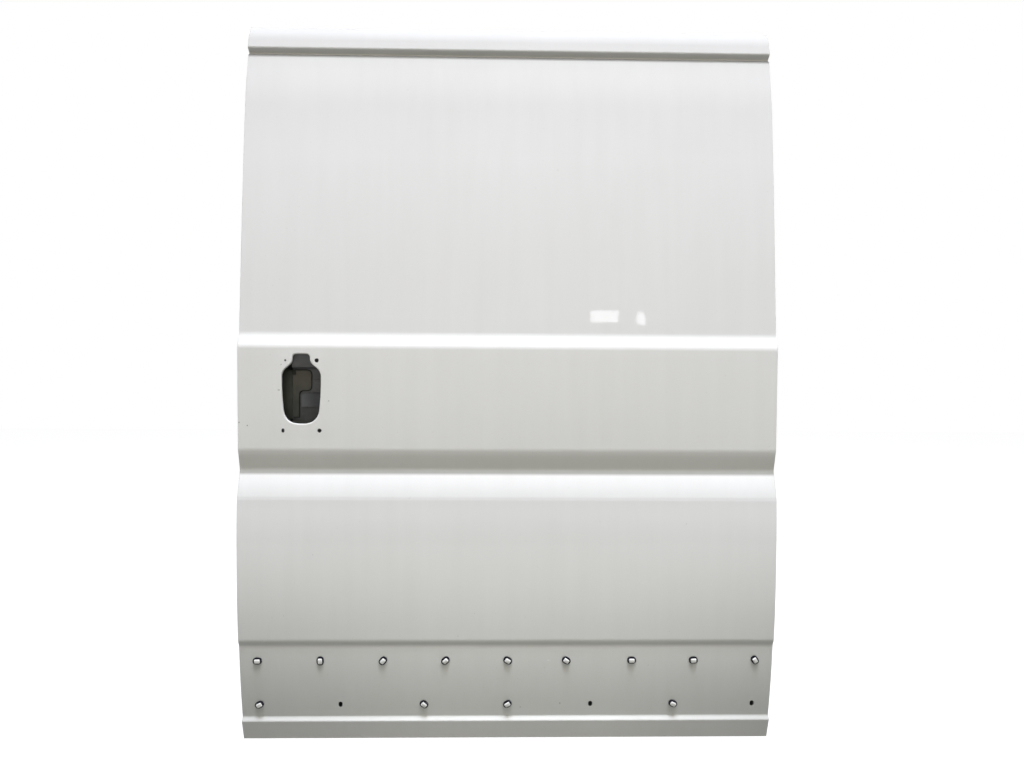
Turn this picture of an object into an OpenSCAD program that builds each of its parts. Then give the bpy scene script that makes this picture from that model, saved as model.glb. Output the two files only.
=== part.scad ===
// Sliding side door of a large panel van, as a bare shell: skin, inner pressings, reinforcements
// and moulding clips, without its handle, lock and rollers.
//
// The door is drawn in its own frame. x runs along the van, with 0 at mid-width and the front
// of the van at -x. y is 0 at the widest point of the skin and grows towards the load space.
// z is 0 at the bottom edge. The last step moves the rear hinge seat to the origin.

/* [Door] */
// Width over the skin
door_w = 1360; // [1300:10:1460]
// Height over the skin
door_h = 1850; // [1780:10:2000]

/* [Sheet] */
// Thickness of the pressed sheets
sheet_t = 1.2; // [0.8:0.1:1.6]
// Clearance between two sheets that are hemmed, lapped or welded
sheet_gap = 0.2; // [0.1:0.05:0.4]
// Width of the hem that folds the skin round the inner flange
hem_w = 14; // [10:1:20]

/* [Skin section, insets behind the widest point] */
// Inset of the bottom edge
foot_in = 65; // [58:1:72]
// Inset at the foot of the moulding band, where the sill ledge begins
ledge_in = 54; // [48:1:62]
// Inset at the top of the moulding band
step_in = 23; // [20:1:30]
// Inset of the lower panel's lower edge
step_lip_in = 15; // [10:1:18]
// Inset of the lowest of the three corners that the lower panel's bulge is blended round
bulge_low_in = 7; // [6:0.5:8.5]
// Inset of the bulge's middle corner
bulge_mid_in = 2.5; // [1.5:0.5:4]
// Inset of the bulge's highest corner
bulge_in = 0; // [-2:0.5:1]
// Inset of the lower panel's upper edge
panel_top_in = 4; // [3:0.5:8]
// Inset at the bottom of the groove under the belt
groove_in = 27; // [20:1:34]
// Inset of the belt's lower edge
belt_foot_in = 10; // [8:0.5:15]
// Inset of the belt's upper edge
belt_top_in = 2.5; // [1:0.5:5]
// Inset of the upper panel's lower edge
waist_in = 17; // [12:1:22]
// Inset of the lowest of the three corners that the upper panel's lean is blended round
lean_low_in = 35; // [32:1:37]
// Inset of the lean's middle corner
lean_in = 50; // [47:1:52]
// Inset of the lean's highest corner
lean_up_in = 66; // [63:1:69]
// Inset of the upper panel's upper edge
gutter_foot_in = 86; // [80:1:88]
// Inset at the bottom of the gutter
gutter_in = 94.5; // [91:0.5:98]
// Inset of the lip over the gutter
band_lip_in = 82; // [76:1:86]
// Inset of the corner that the top band is blended round
band_mid_in = 90; // [86:1:94]
// Inset of the top edge
top_in = 108; // [102:1:114]

/* [Skin section, heights] */
// Height of the sill band
sill_h = 53; // [44:1:62]
// Height of the ledge over the sill band
ledge_h = 9; // [6:1:14]
// How far the sill band stands out from the moulding band's foot
sill_proud = 8; // [5:1:12]
// Height of the moulding band
mould_h = 193; // [180:1:205]
// Height of the step over the moulding band
step_h = 13; // [8:1:18]
// Height of the bulge's lowest corner above the step
bulge_low_rise = 82; // [70:1:95]
// Height of the bulge's middle corner above the step
bulge_mid_rise = 172; // [160:1:190]
// Height of the bulge's highest corner above the step
bulge_rise = 292; // [275:1:305]
// Height of the lower panel
panel_h = 363; // [350:1:380]
// Height of the groove's lower slope
groove_low_h = 68; // [58:1:75]
// Height of the groove's upper slope
groove_up_h = 54; // [46:1:62]
// Height of the belt
belt_h = 260; // [245:1:275]
// Height of the slope over the belt
belt_slope_h = 32; // [26:1:40]
// Drop of the lean's lowest corner below the top edge
lean_low_drop = 520; // [480:5:560]
// Drop of the lean's middle corner below the top edge
lean_drop = 320; // [300:5:340]
// Drop of the lean's highest corner below the top edge
lean_up_drop = 170; // [155:5:185]
// Drop of the upper panel's upper edge
gutter_foot_drop = 79; // [78:0.5:86]
// Drop of the gutter's bottom
gutter_drop = 74.5; // [70:0.5:75]
// Drop of the lip over the gutter, which is the height of the top band
band_drop = 55; // [48:1:62]
// Drop of the top band's blended corner
band_mid_drop = 25; // [20:1:32]
// Length of sheet that a crease is blended over, to each side of it
crease_r = 6; // [3:0.5:8]

/* [Handle cut-out] */
// Distance of the cut-out's middle from the door's front edge
handle_from_edge = 158.5; // [150:0.5:175]
// Height of the cut-out's lowest point above the belt's lower edge
handle_up = 65; // [62:1:78]
// Height of the cut-out
handle_h = 175; // [150:1:180]
// Width of the bowl
bowl_w = 97; // [84:1:104]
// Width across the foot of the bowl, before it is rounded
bowl_foot_w = 84; // [70:1:90]
// Width of the neck
neck_w = 43; // [34:1:50]
// Height of the neck down to where it flares
neck_h = 21; // [18:1:27]
// Height over which the neck flares out to the bowl
flare_h = 23; // [16:1:30]
// Depth of the flange turned in round the cut-out
handle_flange = 7; // [4:0.5:10]
// Radius of the two large screw holes, on the rear side
handle_hole_r = 4.5; // [3.5:0.25:5.5]
// Radius of the small locating hole, on the upper front side
handle_pip_r = 2.5; // [2:0.25:3.5]
// Width of the slotted hole, on the lower front side
handle_slot_w = 6.5; // [5:0.5:8]
// Distance of the upper holes from the cut-out's middle
handle_hole_up_x = 39; // [36:0.5:42]
// Distance of the lower holes from the cut-out's middle
handle_hole_low_x = 45.5; // [42:0.5:48]
// Drop of the upper holes below the cut-out's highest point
handle_hole_up_drop = 16; // [10:0.5:18]
// Drop of the lower holes below the cut-out's lowest point
handle_hole_low_drop = 17; // [14:0.5:24]

/* [Bracket behind the cut-out] */
// Depth of the bracket's floor behind the skin
bracket_d = 34; // [30:1:44]
// Depth of the foot of the plate behind the neck
bracket_neck_d = 22; // [16:1:26]
// Thickness of the raised pad
pad_t = 4; // [2:0.5:6]
// Width of the pad's lobe
pad_w = 46; // [36:1:52]
// Height of the pad's lobe
pad_h = 50; // [40:1:54]
// Width of the pad's stem
stem_w = 15; // [10:1:20]
// Corner radius of the pad
pad_r = 12; // [6:1:14]
// Thickness of the lever plate
lever_t = 7; // [4:0.5:9]
// Height of the lever plate
lever_h = 34; // [26:1:38]

/* [Moulding clips] */
// Clips in the upper row
clip_count = 9; // [5:1:9]
// Distance of the first and last clips from the door's edges
clip_margin = 46; // [42:1:70]
// How far the sixth clip of the upper row sits off its even place
clip_stray = -9; // [-12:1:12]
// Height of the upper row
clip_up_z = 215; // [195:1:225]
// Height of the lower row
clip_low_z = 96; // [86:1:110]
// Even pitch of the lower row, which has three empty slots
clip_low_pitch = 214; // [190:1:224]
// Radius of a clip's shank
clip_shank_r = 3.9; // [3:0.1:4.5]
// Radial clearance of the shank in its hole
clip_clear = 0.2; // [0.1:0.05:0.4]
// Length of a clip's seal
seal_l = 23.5; // [20:0.5:27]
// Width of a clip's seal
seal_w = 18; // [15:0.5:20]
// Thickness of a clip's seal
seal_h = 3; // [2:0.25:4]
// Length of a clip's head
clip_l = 16; // [13:0.5:18]
// Width of a clip's head
clip_w = 12.5; // [10:0.5:14]
// Height of a clip's head
clip_h = 4.5; // [3:0.25:6]
// Width of the empty slots
slot_w = 7; // [5:0.5:9]
// Height of the empty slots
slot_h = 12.5; // [10:0.5:16]

/* [Inner pressings] */
// Inset of the side and bottom walls from the skin's edge
wall_set = 25; // [20:1:32]
// Inset of the lower inner panel's back face
back_in = 112; // [104:1:120]
// Height at which the upper frame begins
split_z = 1100; // [1085:1:1115]
// Length of sheet that a bend of the inner pressings takes, to each side of it
bend_r = 12; // [6:1:16]
// Angle that the upper frame leans inwards
lean_a = 3.55; // [3:0.05:4]
// Overlap of the two pressings at the split
lap = 30; // [20:1:36]
// Corner radius of the inner pressings' outline
inner_r = 50; // [35:1:54]
// Width of the upper frame's side members
frame_side = 110; // [100:1:125]
// Height of the upper frame's top member
frame_top = 77; // [68:1:85]
// Height of the upper frame's bottom member
frame_foot = 90; // [75:1:100]
// Corner radius of the upper frame's aperture
frame_r = 65; // [50:1:75]
// Width of the flange that faces the skin round the upper aperture
frame_flange = 14; // [10:1:18]
// Length of the lightening holes in the upper frame
frame_hole_l = 110; // [80:5:130]
// Width of the lightening holes in the upper frame's side members
frame_hole_w = 40; // [30:1:48]
// Width of the lightening holes in the upper frame's top and bottom members
frame_hole_h = 26; // [20:1:32]
// Service apertures in the lower inner panel
ap_count = 4; // [4:1:4]
// Web left beside the outer service apertures
ap_margin = 115; // [108:1:125]
// Web left between two service apertures
ap_rib = 55; // [45:1:70]
// Height of the service apertures' lower edge
ap_z = 330; // [315:1:340]
// Height of the service apertures
ap_h = 400; // [380:5:410]
// Corner radius of the service apertures
ap_r = 45; // [30:1:60]
// Depth of the flange turned in round a service aperture
ap_flange = 10; // [6:1:14]
// Width of the lightening holes along the foot
foot_hole_w = 130; // [100:5:150]
// Height of the lightening holes along the foot
foot_hole_h = 60; // [45:1:66]
// Height of the lightening holes' middle
foot_hole_z = 195; // [180:1:205]
// Radius of the stiffening beads
bead_r = 14; // [11:0.5:16]
// How far the stiffening beads stand out
bead_proud = 6; // [4:0.5:8]
// Height of the bead over the foot holes
bead_low_z = 280; // [268:1:290]
// Height of the bead over the service apertures
bead_high_z = 785; // [775:1:800]
// Radius of the trim panel's clip holes
trim_hole_r = 4; // [3:0.25:5]
// Distance of the trim panel's clip holes from the side walls
trim_hole_set = 30; // [24:1:34]
// Height of the lower trim holes
trim_hole_z = 300; // [290:1:310]
// Height between the lower and the upper trim holes
trim_hole_span = 700; // [680:5:720]
// Radius of the drain holes in the bottom wall
drain_r = 7; // [5:0.5:9]

// Height of the upper lightening holes' middle
access_z = 940; // [900:1:980]
// Width of the lock's access opening, behind the handle
access_w = 116; // [100:1:124]
// Height of the lock's access opening
access_h = 150; // [130:1:160]
// Distance of the lock's access opening behind the handle cut-out
access_dx = 125; // [115:1:130]

/* [Seats for the hinge, rollers and lock] */
// Distance of the rear hinge seat's middle from the door's rear edge
hinge_from_edge = 80; // [76:1:86]
// Width of a bolted seat
seat_w = 96; // [90:1:100]
// Height of the rear hinge seat
seat_h = 120; // [112:1:130]
// How far a bolted seat stands out
seat_proud = 3; // [2:0.25:4]
// Corner radius of a bolted seat
seat_r = 12; // [8:1:16]
// Radius of the seats' bolt holes
bolt_r = 4.5; // [3.5:0.25:5]
// Distance between the bolts of a seat along the van
bolt_x = 56; // [50:1:60]
// Distance between the rear hinge's bolts in height
bolt_z = 76; // [70:1:82]
// Thickness of the reinforcements behind the seats
plate_t = 3; // [2:0.25:4]
// Radius of the welded nuts behind the seats
nut_r = 8; // [7:0.25:9]
// Length of the welded nuts
nut_h = 8; // [6:0.5:10]
// Distance of the roller seats' middle from the door's front edge
roller_from_edge = 85; // [82:1:90]
// Height of the lower roller seat's middle
roller_low_z = 120; // [115:1:126]
// Height of the lower roller seat
roller_low_h = 84; // [76:1:90]
// Distance between the lower roller's bolts in height
roller_low_bolt_z = 48; // [42:1:54]
// Height of the upper roller seat
roller_up_h = 46; // [40:1:52]
// Distance of the lock's middle from the skin's widest point
lock_in = 62; // [58:1:66]
// Diameter of the circle through the lock's bolts
lock_pcd = 76; // [70:1:80]
// Radius of the lock's bolt holes
lock_bolt_r = 3.3; // [2.5:0.1:4]
// Width of the latch opening
latch_w = 30; // [24:1:36]
// Height of the latch opening
latch_h = 44; // [36:1:48]

/* [Stiffeners behind the skin] */
// Radius of the side impact beam
beam_r = 16; // [14:0.5:18]
// Wall of the side impact beam
beam_wall = 2; // [1.5:0.25:3]
// Gap between the beam and the skin, filled by dabs of mastic
beam_gap = 4.8; // [4:0.2:7]
// Depth of a bow or rail behind the skin
bow_d = 22; // [18:1:26]
// Width of a bow's web
bow_w = 36; // [28:1:44]
// Width of a bow's flanges
bow_flange = 14; // [10:1:18]
// Distance of the outer bows from the middle one
bow_pitch = 300; // [260:5:330]
// Thickness of the mastic between a flange and the skin
mastic_t = 2.6; // [2:0.1:3.4]
// Height of the waist rail
rail_h = 42; // [34:1:46]
// Length of a dab of mastic
dab_l = 60; // [40:5:70]
// Radius of a round dab of mastic
dab_r = 14; // [10:1:18]

/* [Hidden] */

$fn = 48;
overcut = 2;
crease_steps = 4;
curve_steps = 12;

// Heights of the skin's creases, from the bottom edge up
ledge_z = sill_h + ledge_h;
step_z = ledge_z + mould_h;
step_lip_z = step_z + step_h;
panel_top_z = step_lip_z + panel_h;
groove_z = panel_top_z + groove_low_h;
belt_foot_z = groove_z + groove_up_h;
belt_top_z = belt_foot_z + belt_h;
waist_z = belt_top_z + belt_slope_h;
mould_tilt = atan((ledge_in - step_in) / mould_h);
belt_tilt = atan((belt_foot_in - belt_top_in) / belt_h);

hem_d = 3 * sheet_t + 2 * sheet_gap;
flange_d0 = sheet_t + sheet_gap;
flange_d1 = flange_d0 + sheet_t;
bond_d0 = sheet_t + mastic_t;
bond_d1 = bond_d0 + sheet_t;
mastic_gap = 0.05;

edge_x = door_w / 2;
wall_x = edge_x - wall_set;
roof_z = door_h - wall_set - 3;
flange_edge = sheet_t + 0.3;

handle_x = -edge_x + handle_from_edge;
handle_z0 = belt_foot_z + handle_up;
handle_z1 = handle_z0 + handle_h;

hinge_x = edge_x - hinge_from_edge;
hinge_z = groove_z + 6;
seat_in = back_in + seat_proud;
roller_x = -edge_x + roller_from_edge;
roller_up_z = roof_z - frame_top / 2 - 2;
lock_z = handle_z0 + handle_h / 2;

bow_z0 = split_z + frame_foot;
bow_z1 = roof_z - frame_top;
rail_z1 = split_z - 10;
beam_in = sheet_t + beam_gap + beam_r;

function unit(v) = v / norm(v);
function reverse(list) = [for (i = [len(list) - 1:-1:0]) list[i]];
function quad(a, b, c, t) = (1 - t) * (1 - t) * a + 2 * t * (1 - t) * b + t * t * c;

// Points of the curve that blends the corner b between a and c over the length r
function blend(a, b, c, r) =
    let (s = min(r, 0.49 * norm(a - b), 0.49 * norm(c - b)),
         p = b + unit(a - b) * s,
         q = b + unit(c - b) * s,
         n = r > 30 ? curve_steps : crease_steps)
    [for (i = [0:n]) quad(p, b, q, i / n)];

function flat(p) = [p[0], p[1]];

// An open line and a closed outline through corners [u, v, blend length]
function open_line(corners) = concat(
    [flat(corners[0])],
    [for (i = [1:len(corners) - 2])
        each blend(flat(corners[i - 1]), flat(corners[i]), flat(corners[i + 1]), corners[i][2])],
    [flat(corners[len(corners) - 1])]);
function outline(corners) =
    let (n = len(corners))
    [for (i = [0:n - 1])
        each blend(flat(corners[(i + n - 1) % n]), flat(corners[i]), flat(corners[(i + 1) % n]),
                   corners[i][2])];

// The skin's section, as corners [inset, height, blend length]
skin_corners = [
    [foot_in, 0, 0],
    [ledge_in - sill_proud, sill_h, crease_r / 2],
    [ledge_in, ledge_z, crease_r / 2],
    [step_in, step_z, crease_r],
    [step_lip_in, step_lip_z, crease_r],
    [bulge_low_in, step_lip_z + bulge_low_rise, 40],
    [bulge_mid_in, step_lip_z + bulge_mid_rise, 55],
    [bulge_in, step_lip_z + bulge_rise, 60],
    [panel_top_in, panel_top_z, crease_r],
    [groove_in, groove_z, 1.5 * crease_r],
    [belt_foot_in, belt_foot_z, crease_r],
    [belt_top_in, belt_top_z, crease_r],
    [waist_in, waist_z, crease_r],
    [lean_low_in, door_h - lean_low_drop, 98],
    [lean_in, door_h - lean_drop, 73],
    [lean_up_in, door_h - lean_up_drop, 73],
    [gutter_foot_in, door_h - gutter_foot_drop, crease_r / 2],
    [gutter_in, door_h - gutter_drop, crease_r / 2],
    [band_lip_in, door_h - band_drop, crease_r / 2],
    [band_mid_in, door_h - band_mid_drop, 3 * crease_r],
    [top_in, door_h, 0]];
skin_line = open_line(skin_corners);
skin_table = [for (p = skin_line) [p[1], p[0]]];
function skin_in(z) = lookup(z, skin_table);

// The skin's line from height z0 to z1, moved d inwards
function strip(z0, z1, d) = concat(
    [[skin_in(z0) + d, z0]],
    [for (p = skin_line) if (p[1] > z0 + 0.02 && p[1] < z1 - 0.02) [p[0] + d, p[1]]],
    [[skin_in(z1) + d, z1]]);

// Inset of the upper frame's back face at a height, and of the back face of either pressing
function upper_back(z) = back_in + sheet_t + sheet_gap + (z - split_z) * tan(lean_a);

// A section [inset, height] drawn out along the van from x0 to x1
module along_x(x0, x1) {
    translate([x0, 0, 0]) rotate([90, 0, 90]) linear_extrude(x1 - x0) children();
}

// An elevation [x, height] drawn out across the van from inset y0 to y1
module along_y(y0, y1) {
    translate([0, y1, 0]) rotate([90, 0, 0]) linear_extrude(y1 - y0) children();
}

// Section of a sheet that follows the skin between the insets d0 and d1
module skin_band(z0, z1, d0, d1) {
    polygon(concat(strip(z0, z1, d0), reverse(strip(z0, z1, d1))));
}

// Places a child on the skin at x and z, with its +Z pointing out of a face tilted by a
module on_skin(x, z, a) {
    translate([x, skin_in(z), z]) rotate([90 + a, 0, 0]) children();
}

// Places a child on the upper frame's back face, with its +Y pointing into the load space
module on_upper_back(x, z) {
    translate([x, upper_back(z), z]) rotate([-lean_a, 0, 0]) children();
}

module round_rect(w, h, r) {
    square([w - 2 * r, h], center = true);
    square([w, h - 2 * r], center = true);
    for (sx = [-1, 1], sy = [-1, 1])
        translate([sx * (w / 2 - r), sy * (h / 2 - r)]) circle(r);
}

module oblong(w, h) {
    r = min(w, h) / 2;
    square([w - (w > h ? 2 * r : 0), h - (w > h ? 0 : 2 * r)], center = true);
    for (s = [-1, 1])
        translate(w > h ? [s * (w / 2 - r), 0] : [0, s * (h / 2 - r)]) circle(r);
}

// A rod with round ends from p to q along the x or z axis
module capsule(p, q, r) {
    span = q - p;
    translate(p) rotate(span[0] > 0 ? [0, 90, 0] : [0, 0, 0]) cylinder(h = norm(span), r = r);
    for (c = [p, q]) translate(c) sphere(r);
}

module in_row_frame() {
    translate([-hinge_x, -seat_in, -hinge_z]) children();
}

// Outline of the handle cut-out, grown by g
module handle_outline(g) {
    half = [
        [neck_w / 2 + g, handle_z1 + g, 13],
        [neck_w / 2 + g, handle_z1 - neck_h, 12],
        [bowl_w / 2 + g, handle_z1 - neck_h - flare_h, 14],
        [bowl_w / 2 + g, handle_z0 + 0.45 * handle_h, 28],
        [bowl_foot_w / 2 + g, handle_z0 - g, 38]];
    mirrored = [for (p = reverse(half)) [-p[0], p[1], p[2]]];
    translate([handle_x, 0]) polygon(outline(concat(half, mirrored)));
}

// The four holes round the handle cut-out, each grown by g
module handle_holes(g, depth) {
    up_z = handle_z1 - handle_hole_up_drop;
    low_z = handle_z0 - handle_hole_low_drop;
    for (p = [[handle_hole_up_x, up_z], [handle_hole_low_x, low_z]])
        on_skin(handle_x + p[0], p[1], belt_tilt)
            translate([0, 0, -depth]) cylinder(h = depth + overcut, r = handle_hole_r + g);
    on_skin(handle_x - handle_hole_up_x, up_z, belt_tilt)
        translate([0, 0, -depth]) cylinder(h = depth + overcut, r = handle_pip_r + g);
    on_skin(handle_x - handle_hole_low_x, low_z, belt_tilt)
        translate([0, 0, -depth]) linear_extrude(depth + overcut)
            oblong(handle_slot_w + 2 * g, 1.45 * handle_slot_w + 2 * g);
}

// Places of the moulding clips as [x, z, turn of the clip in its hole]
clip_pitch = (door_w - 2 * clip_margin) / (clip_count - 1);
clip_turns = [2, 92, 50, 42, -32, -34, 1, 3, -58];
upper_clips = [for (i = [0:clip_count - 1])
    [-edge_x + clip_margin + i * clip_pitch + (i == 5 ? clip_stray : 0), clip_up_z,
     clip_turns[i]]];
lower_clips = [
    [-edge_x + clip_margin, clip_low_z, 28],
    [-clip_low_pitch, clip_low_z, -42],
    [0, clip_low_z, 33],
    [2 * clip_low_pitch, clip_low_z, -30]];
slot_places = [
    [-2 * clip_low_pitch, clip_low_z],
    [clip_low_pitch, clip_low_z],
    [edge_x - clip_margin, clip_low_z]];

module skin_pan() {
    difference() {
        along_x(-edge_x, edge_x) skin_band(0, door_h, 0, hem_d);
        along_x(-edge_x + sheet_t, edge_x - sheet_t)
            skin_band(sheet_t, door_h - sheet_t, sheet_t, hem_d - sheet_t);
        along_x(-edge_x + hem_w, edge_x - hem_w)
            skin_band(hem_w, door_h - hem_w, hem_d - 1.2 * sheet_t, hem_d + overcut);
    }
}

module handle_rim() {
    intersection() {
        along_y(-overcut, back_in / 2) handle_outline(sheet_t);
        along_x(handle_x - bowl_w, handle_x + bowl_w)
            skin_band(belt_foot_z + 10, belt_top_z - 5, sheet_t / 2, handle_flange);
    }
}

module outer_skin() {
    color("whitesmoke") difference() {
        union() {
            skin_pan();
            handle_rim();
        }
        along_y(-overcut, back_in / 2) handle_outline(0);
        handle_holes(0, handle_flange);
        for (c = concat(upper_clips, lower_clips))
            on_skin(c[0], c[1], mould_tilt) translate([0, 0, -2 * sheet_t - overcut])
                cylinder(h = 2 * sheet_t + 2 * overcut, r = clip_shank_r + clip_clear);
        for (c = slot_places)
            on_skin(c[0], c[1], mould_tilt) translate([0, 0, -2 * sheet_t - overcut])
                linear_extrude(2 * sheet_t + 2 * overcut) oblong(slot_w, slot_h);
    }
}

// Outline of the inner pressings, set in by o. It runs on past the split at its open end.
module inner_outline(o) {
    h = roof_z - wall_set;
    translate([0, wall_set + h / 2]) round_rect(2 * (wall_x - o), h - 2 * o, inner_r - o);
}

module hem_flange(z0, z1) {
    difference() {
        along_x(-edge_x + flange_edge, edge_x - flange_edge)
            skin_band(z0, z1, flange_d0, flange_d1);
        along_y(-overcut, back_in + overcut) inner_outline(sheet_t);
    }
}

// Service apertures of the lower panel, grown by g
ap_w = (2 * wall_x - 2 * ap_margin - (ap_count - 1) * ap_rib) / ap_count;
ap_xs = [for (i = [0:ap_count - 1]) -wall_x + ap_margin + ap_w / 2 + i * (ap_w + ap_rib)];
module apertures(g) {
    for (x = ap_xs)
        translate([x, ap_z + ap_h / 2]) round_rect(ap_w + 2 * g, ap_h + 2 * g, ap_r + g);
}

module beads(o) {
    y = back_in + bead_proud - bead_r;
    for (b = [[bead_low_z, wall_x - ap_margin], [bead_high_z, wall_x - ap_margin - 2 * bead_r]])
        capsule([-b[1], y, b[0]], [b[1], y, b[0]], bead_r - o);
}

module seats(o) {
    for (s = [[hinge_x, hinge_z, seat_h], [roller_x, roller_low_z, roller_low_h]])
        along_y(back_in - 2 * sheet_t - o, seat_in - o)
            translate([s[0], s[1]]) round_rect(seat_w - 2 * o, s[2] - 2 * o, seat_r - o);
}

// Plan [x, y] of what the two bends beside a back face at y take off its corners, set in by o
module bend_corners(y, o) {
    x = wall_x - o;
    back = y - o;
    r = bend_r - o;
    for (s = [-1, 1])
        polygon(concat(
            blend([s * x, back - 2 * r], [s * x, back], [s * (x - 2 * r), back], r),
            [[s * (x - r), back + overcut], [s * (x + overcut), back + overcut],
             [s * (x + overcut), back - r]]));
}

// The lower inner panel as a solid body whose faces are set in by o, open towards the skin
module lower_body(o) {
    front = o > 0 ? -overcut : flange_d0;
    top = split_z - sheet_gap + (o > 0 ? overcut : 0);
    back = back_in - o;
    foot = wall_set + o;
    difference() {
        intersection() {
            along_x(-wall_x + o, wall_x - o) polygon(concat(
                strip(foot, top, front),
                [[back, top]], blend([back, top], [back, foot], [front, foot], bend_r - o)));
            along_y(-4 * overcut, back_in + overcut) inner_outline(o);
        }
        linear_extrude(top + overcut) bend_corners(back_in, o);
    }
    beads(o);
    seats(o);
}

hinge_bolts = [for (sx = [-1, 1], sz = [-1, 1])
    [hinge_x + sx * bolt_x / 2, hinge_z + sz * bolt_z / 2]];
roller_low_bolts = [for (sx = [-1, 1], sz = [-1, 1])
    [roller_x + sx * bolt_x / 2, roller_low_z + sz * roller_low_bolt_z / 2]];
lock_turns = [90, 210, 330];

// Bores for bolts at the places [x, z], across the van
module bores_y(places, r, y0, y1) {
    for (p = places) translate([p[0], y1, p[1]]) rotate([90, 0, 0]) cylinder(h = y1 - y0, r = r);
}

// The lock's bolt holes and latch opening through the front wall, from x0 to x1
module lock_holes(x0, x1) {
    translate([x0, lock_in, lock_z]) rotate([90, 0, 90]) {
        for (a = lock_turns) rotate(a) translate([lock_pcd / 2, 0])
            cylinder(h = x1 - x0, r = lock_bolt_r);
        linear_extrude(x1 - x0) round_rect(latch_w, latch_h, 6);
    }
}

module inner_lower_panel() {
    color("gainsboro") difference() {
        union() {
            difference() {
                lower_body(0);
                lower_body(sheet_t);
            }
            hem_flange(flange_edge, split_z - sheet_gap);
            // Tab that laps under the upper frame
            along_x(-wall_x + frame_side / 2, wall_x - frame_side / 2) polygon([
                [back_in - sheet_t, split_z - overcut], [back_in, split_z - overcut],
                [back_in, split_z], [back_in + lap * tan(lean_a), split_z + lap],
                [back_in + lap * tan(lean_a) - sheet_t, split_z + lap],
                [back_in - sheet_t, split_z]]);
            along_y(back_in - ap_flange, back_in - sheet_t / 2) difference() {
                apertures(sheet_t);
                apertures(0);
            }
        }
        along_y(back_in - 2 * ap_flange, seat_in + overcut) {
            apertures(0);
            for (x = ap_xs)
                translate([x, foot_hole_z]) oblong(foot_hole_w, foot_hole_h);
            for (i = [1:ap_count - 1])
                translate([ap_xs[i], access_z]) oblong(foot_hole_w, foot_hole_h);
            translate([handle_x + access_dx, lock_z]) round_rect(access_w, access_h, ap_r / 2);
        }
        bores_y(hinge_bolts, bolt_r, back_in - 3 * sheet_t, seat_in + overcut);
        bores_y(roller_low_bolts, bolt_r, back_in - 3 * sheet_t, seat_in + overcut);
        bores_y([for (sx = [-1, 1], k = [0, 1])
                    [sx * (wall_x - trim_hole_set), trim_hole_z + k * trim_hole_span]],
                trim_hole_r, back_in - 3 * sheet_t, back_in + overcut);
        lock_holes(-wall_x - overcut, -wall_x + 2 * sheet_t);
        for (x = [-3, 0, 3]) translate([x * wall_x / 4, back_in - 24, wall_set - overcut])
            cylinder(h = 2 * overcut + 2 * sheet_t, r = drain_r);
    }
}

// The upper frame's aperture, grown by g
module upper_aperture(g) {
    h = bow_z1 - bow_z0;
    translate([0, bow_z0 + h / 2])
        round_rect(2 * (wall_x - frame_side) + 2 * g, h + 2 * g, frame_r + g);
}

// Seat for the upper roller, set in by o, on the leaning back face
module upper_seat(o) {
    on_upper_back(roller_x, roller_up_z)
        along_y(-2 * sheet_t - o, seat_proud - o)
            round_rect(seat_w - 2 * o, roller_up_h - 2 * o, seat_r - o);
}

// The upper frame as a solid body whose faces are set in by o, open towards the skin
module upper_body(o) {
    front = o > 0 ? -overcut : flange_d0;
    foot = split_z - (o > 0 ? overcut : 0);
    roof = roof_z - o;
    top = [upper_back(roof) - o, roof];
    heel = [upper_back(foot) - o, foot];
    difference() {
        intersection() {
            along_x(-wall_x + o, wall_x - o) polygon(concat(
                strip(foot, roof, front), blend([0, roof], top, heel, bend_r - o), [heel]));
            along_y(-4 * overcut, 2 * back_in) inner_outline(o);
        }
        on_upper_back(0, split_z) translate([0, 0, -back_in])
            linear_extrude(door_h) bend_corners(0, o);
    }
    upper_seat(o);
}

upper_bolts = [-bolt_x / 2, bolt_x / 2];

module inner_upper_frame() {
    color("gainsboro") difference() {
        union() {
            difference() {
                upper_body(0);
                upper_body(sheet_t);
                along_y(-overcut, 2 * back_in) upper_aperture(0);
            }
            intersection() {
                along_x(-wall_x, wall_x) polygon(concat(
                    strip(split_z, roof_z, bond_d0),
                    [[upper_back(roof_z), roof_z], [upper_back(split_z), split_z]]));
                along_y(0, 2 * back_in) difference() {
                    upper_aperture(sheet_t);
                    upper_aperture(0);
                }
            }
            intersection() {
                along_x(-wall_x, wall_x) skin_band(split_z, roof_z, bond_d0, bond_d1);
                along_y(0, 2 * back_in) difference() {
                    upper_aperture(sheet_t);
                    upper_aperture(-frame_flange);
                }
            }
            hem_flange(split_z, door_h - flange_edge);
        }
        on_upper_back(roller_x, roller_up_z) bores_y([for (x = upper_bolts) [x, 0]], bolt_r,
            -3 * sheet_t, seat_proud + overcut);
        for (sx = [-1, 1], k = [0.5, 1.5, 2.5])
            on_upper_back(sx * (wall_x - frame_side / 2), bow_z0 + k * (bow_z1 - bow_z0) / 3)
                along_y(-3 * sheet_t, overcut) oblong(frame_hole_w, frame_hole_l);
        for (k = [-1, 0, 1])
            on_upper_back(k * bow_pitch, roof_z - frame_top / 2)
                along_y(-3 * sheet_t, overcut) oblong(frame_hole_l, frame_hole_h);
        for (k = [-1.5, -0.5, 0.5, 1.5])
            on_upper_back(k * bow_pitch, split_z + (lap + frame_foot) / 2)
                along_y(-3 * sheet_t, overcut) oblong(frame_hole_l, frame_hole_h);
    }
}

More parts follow.
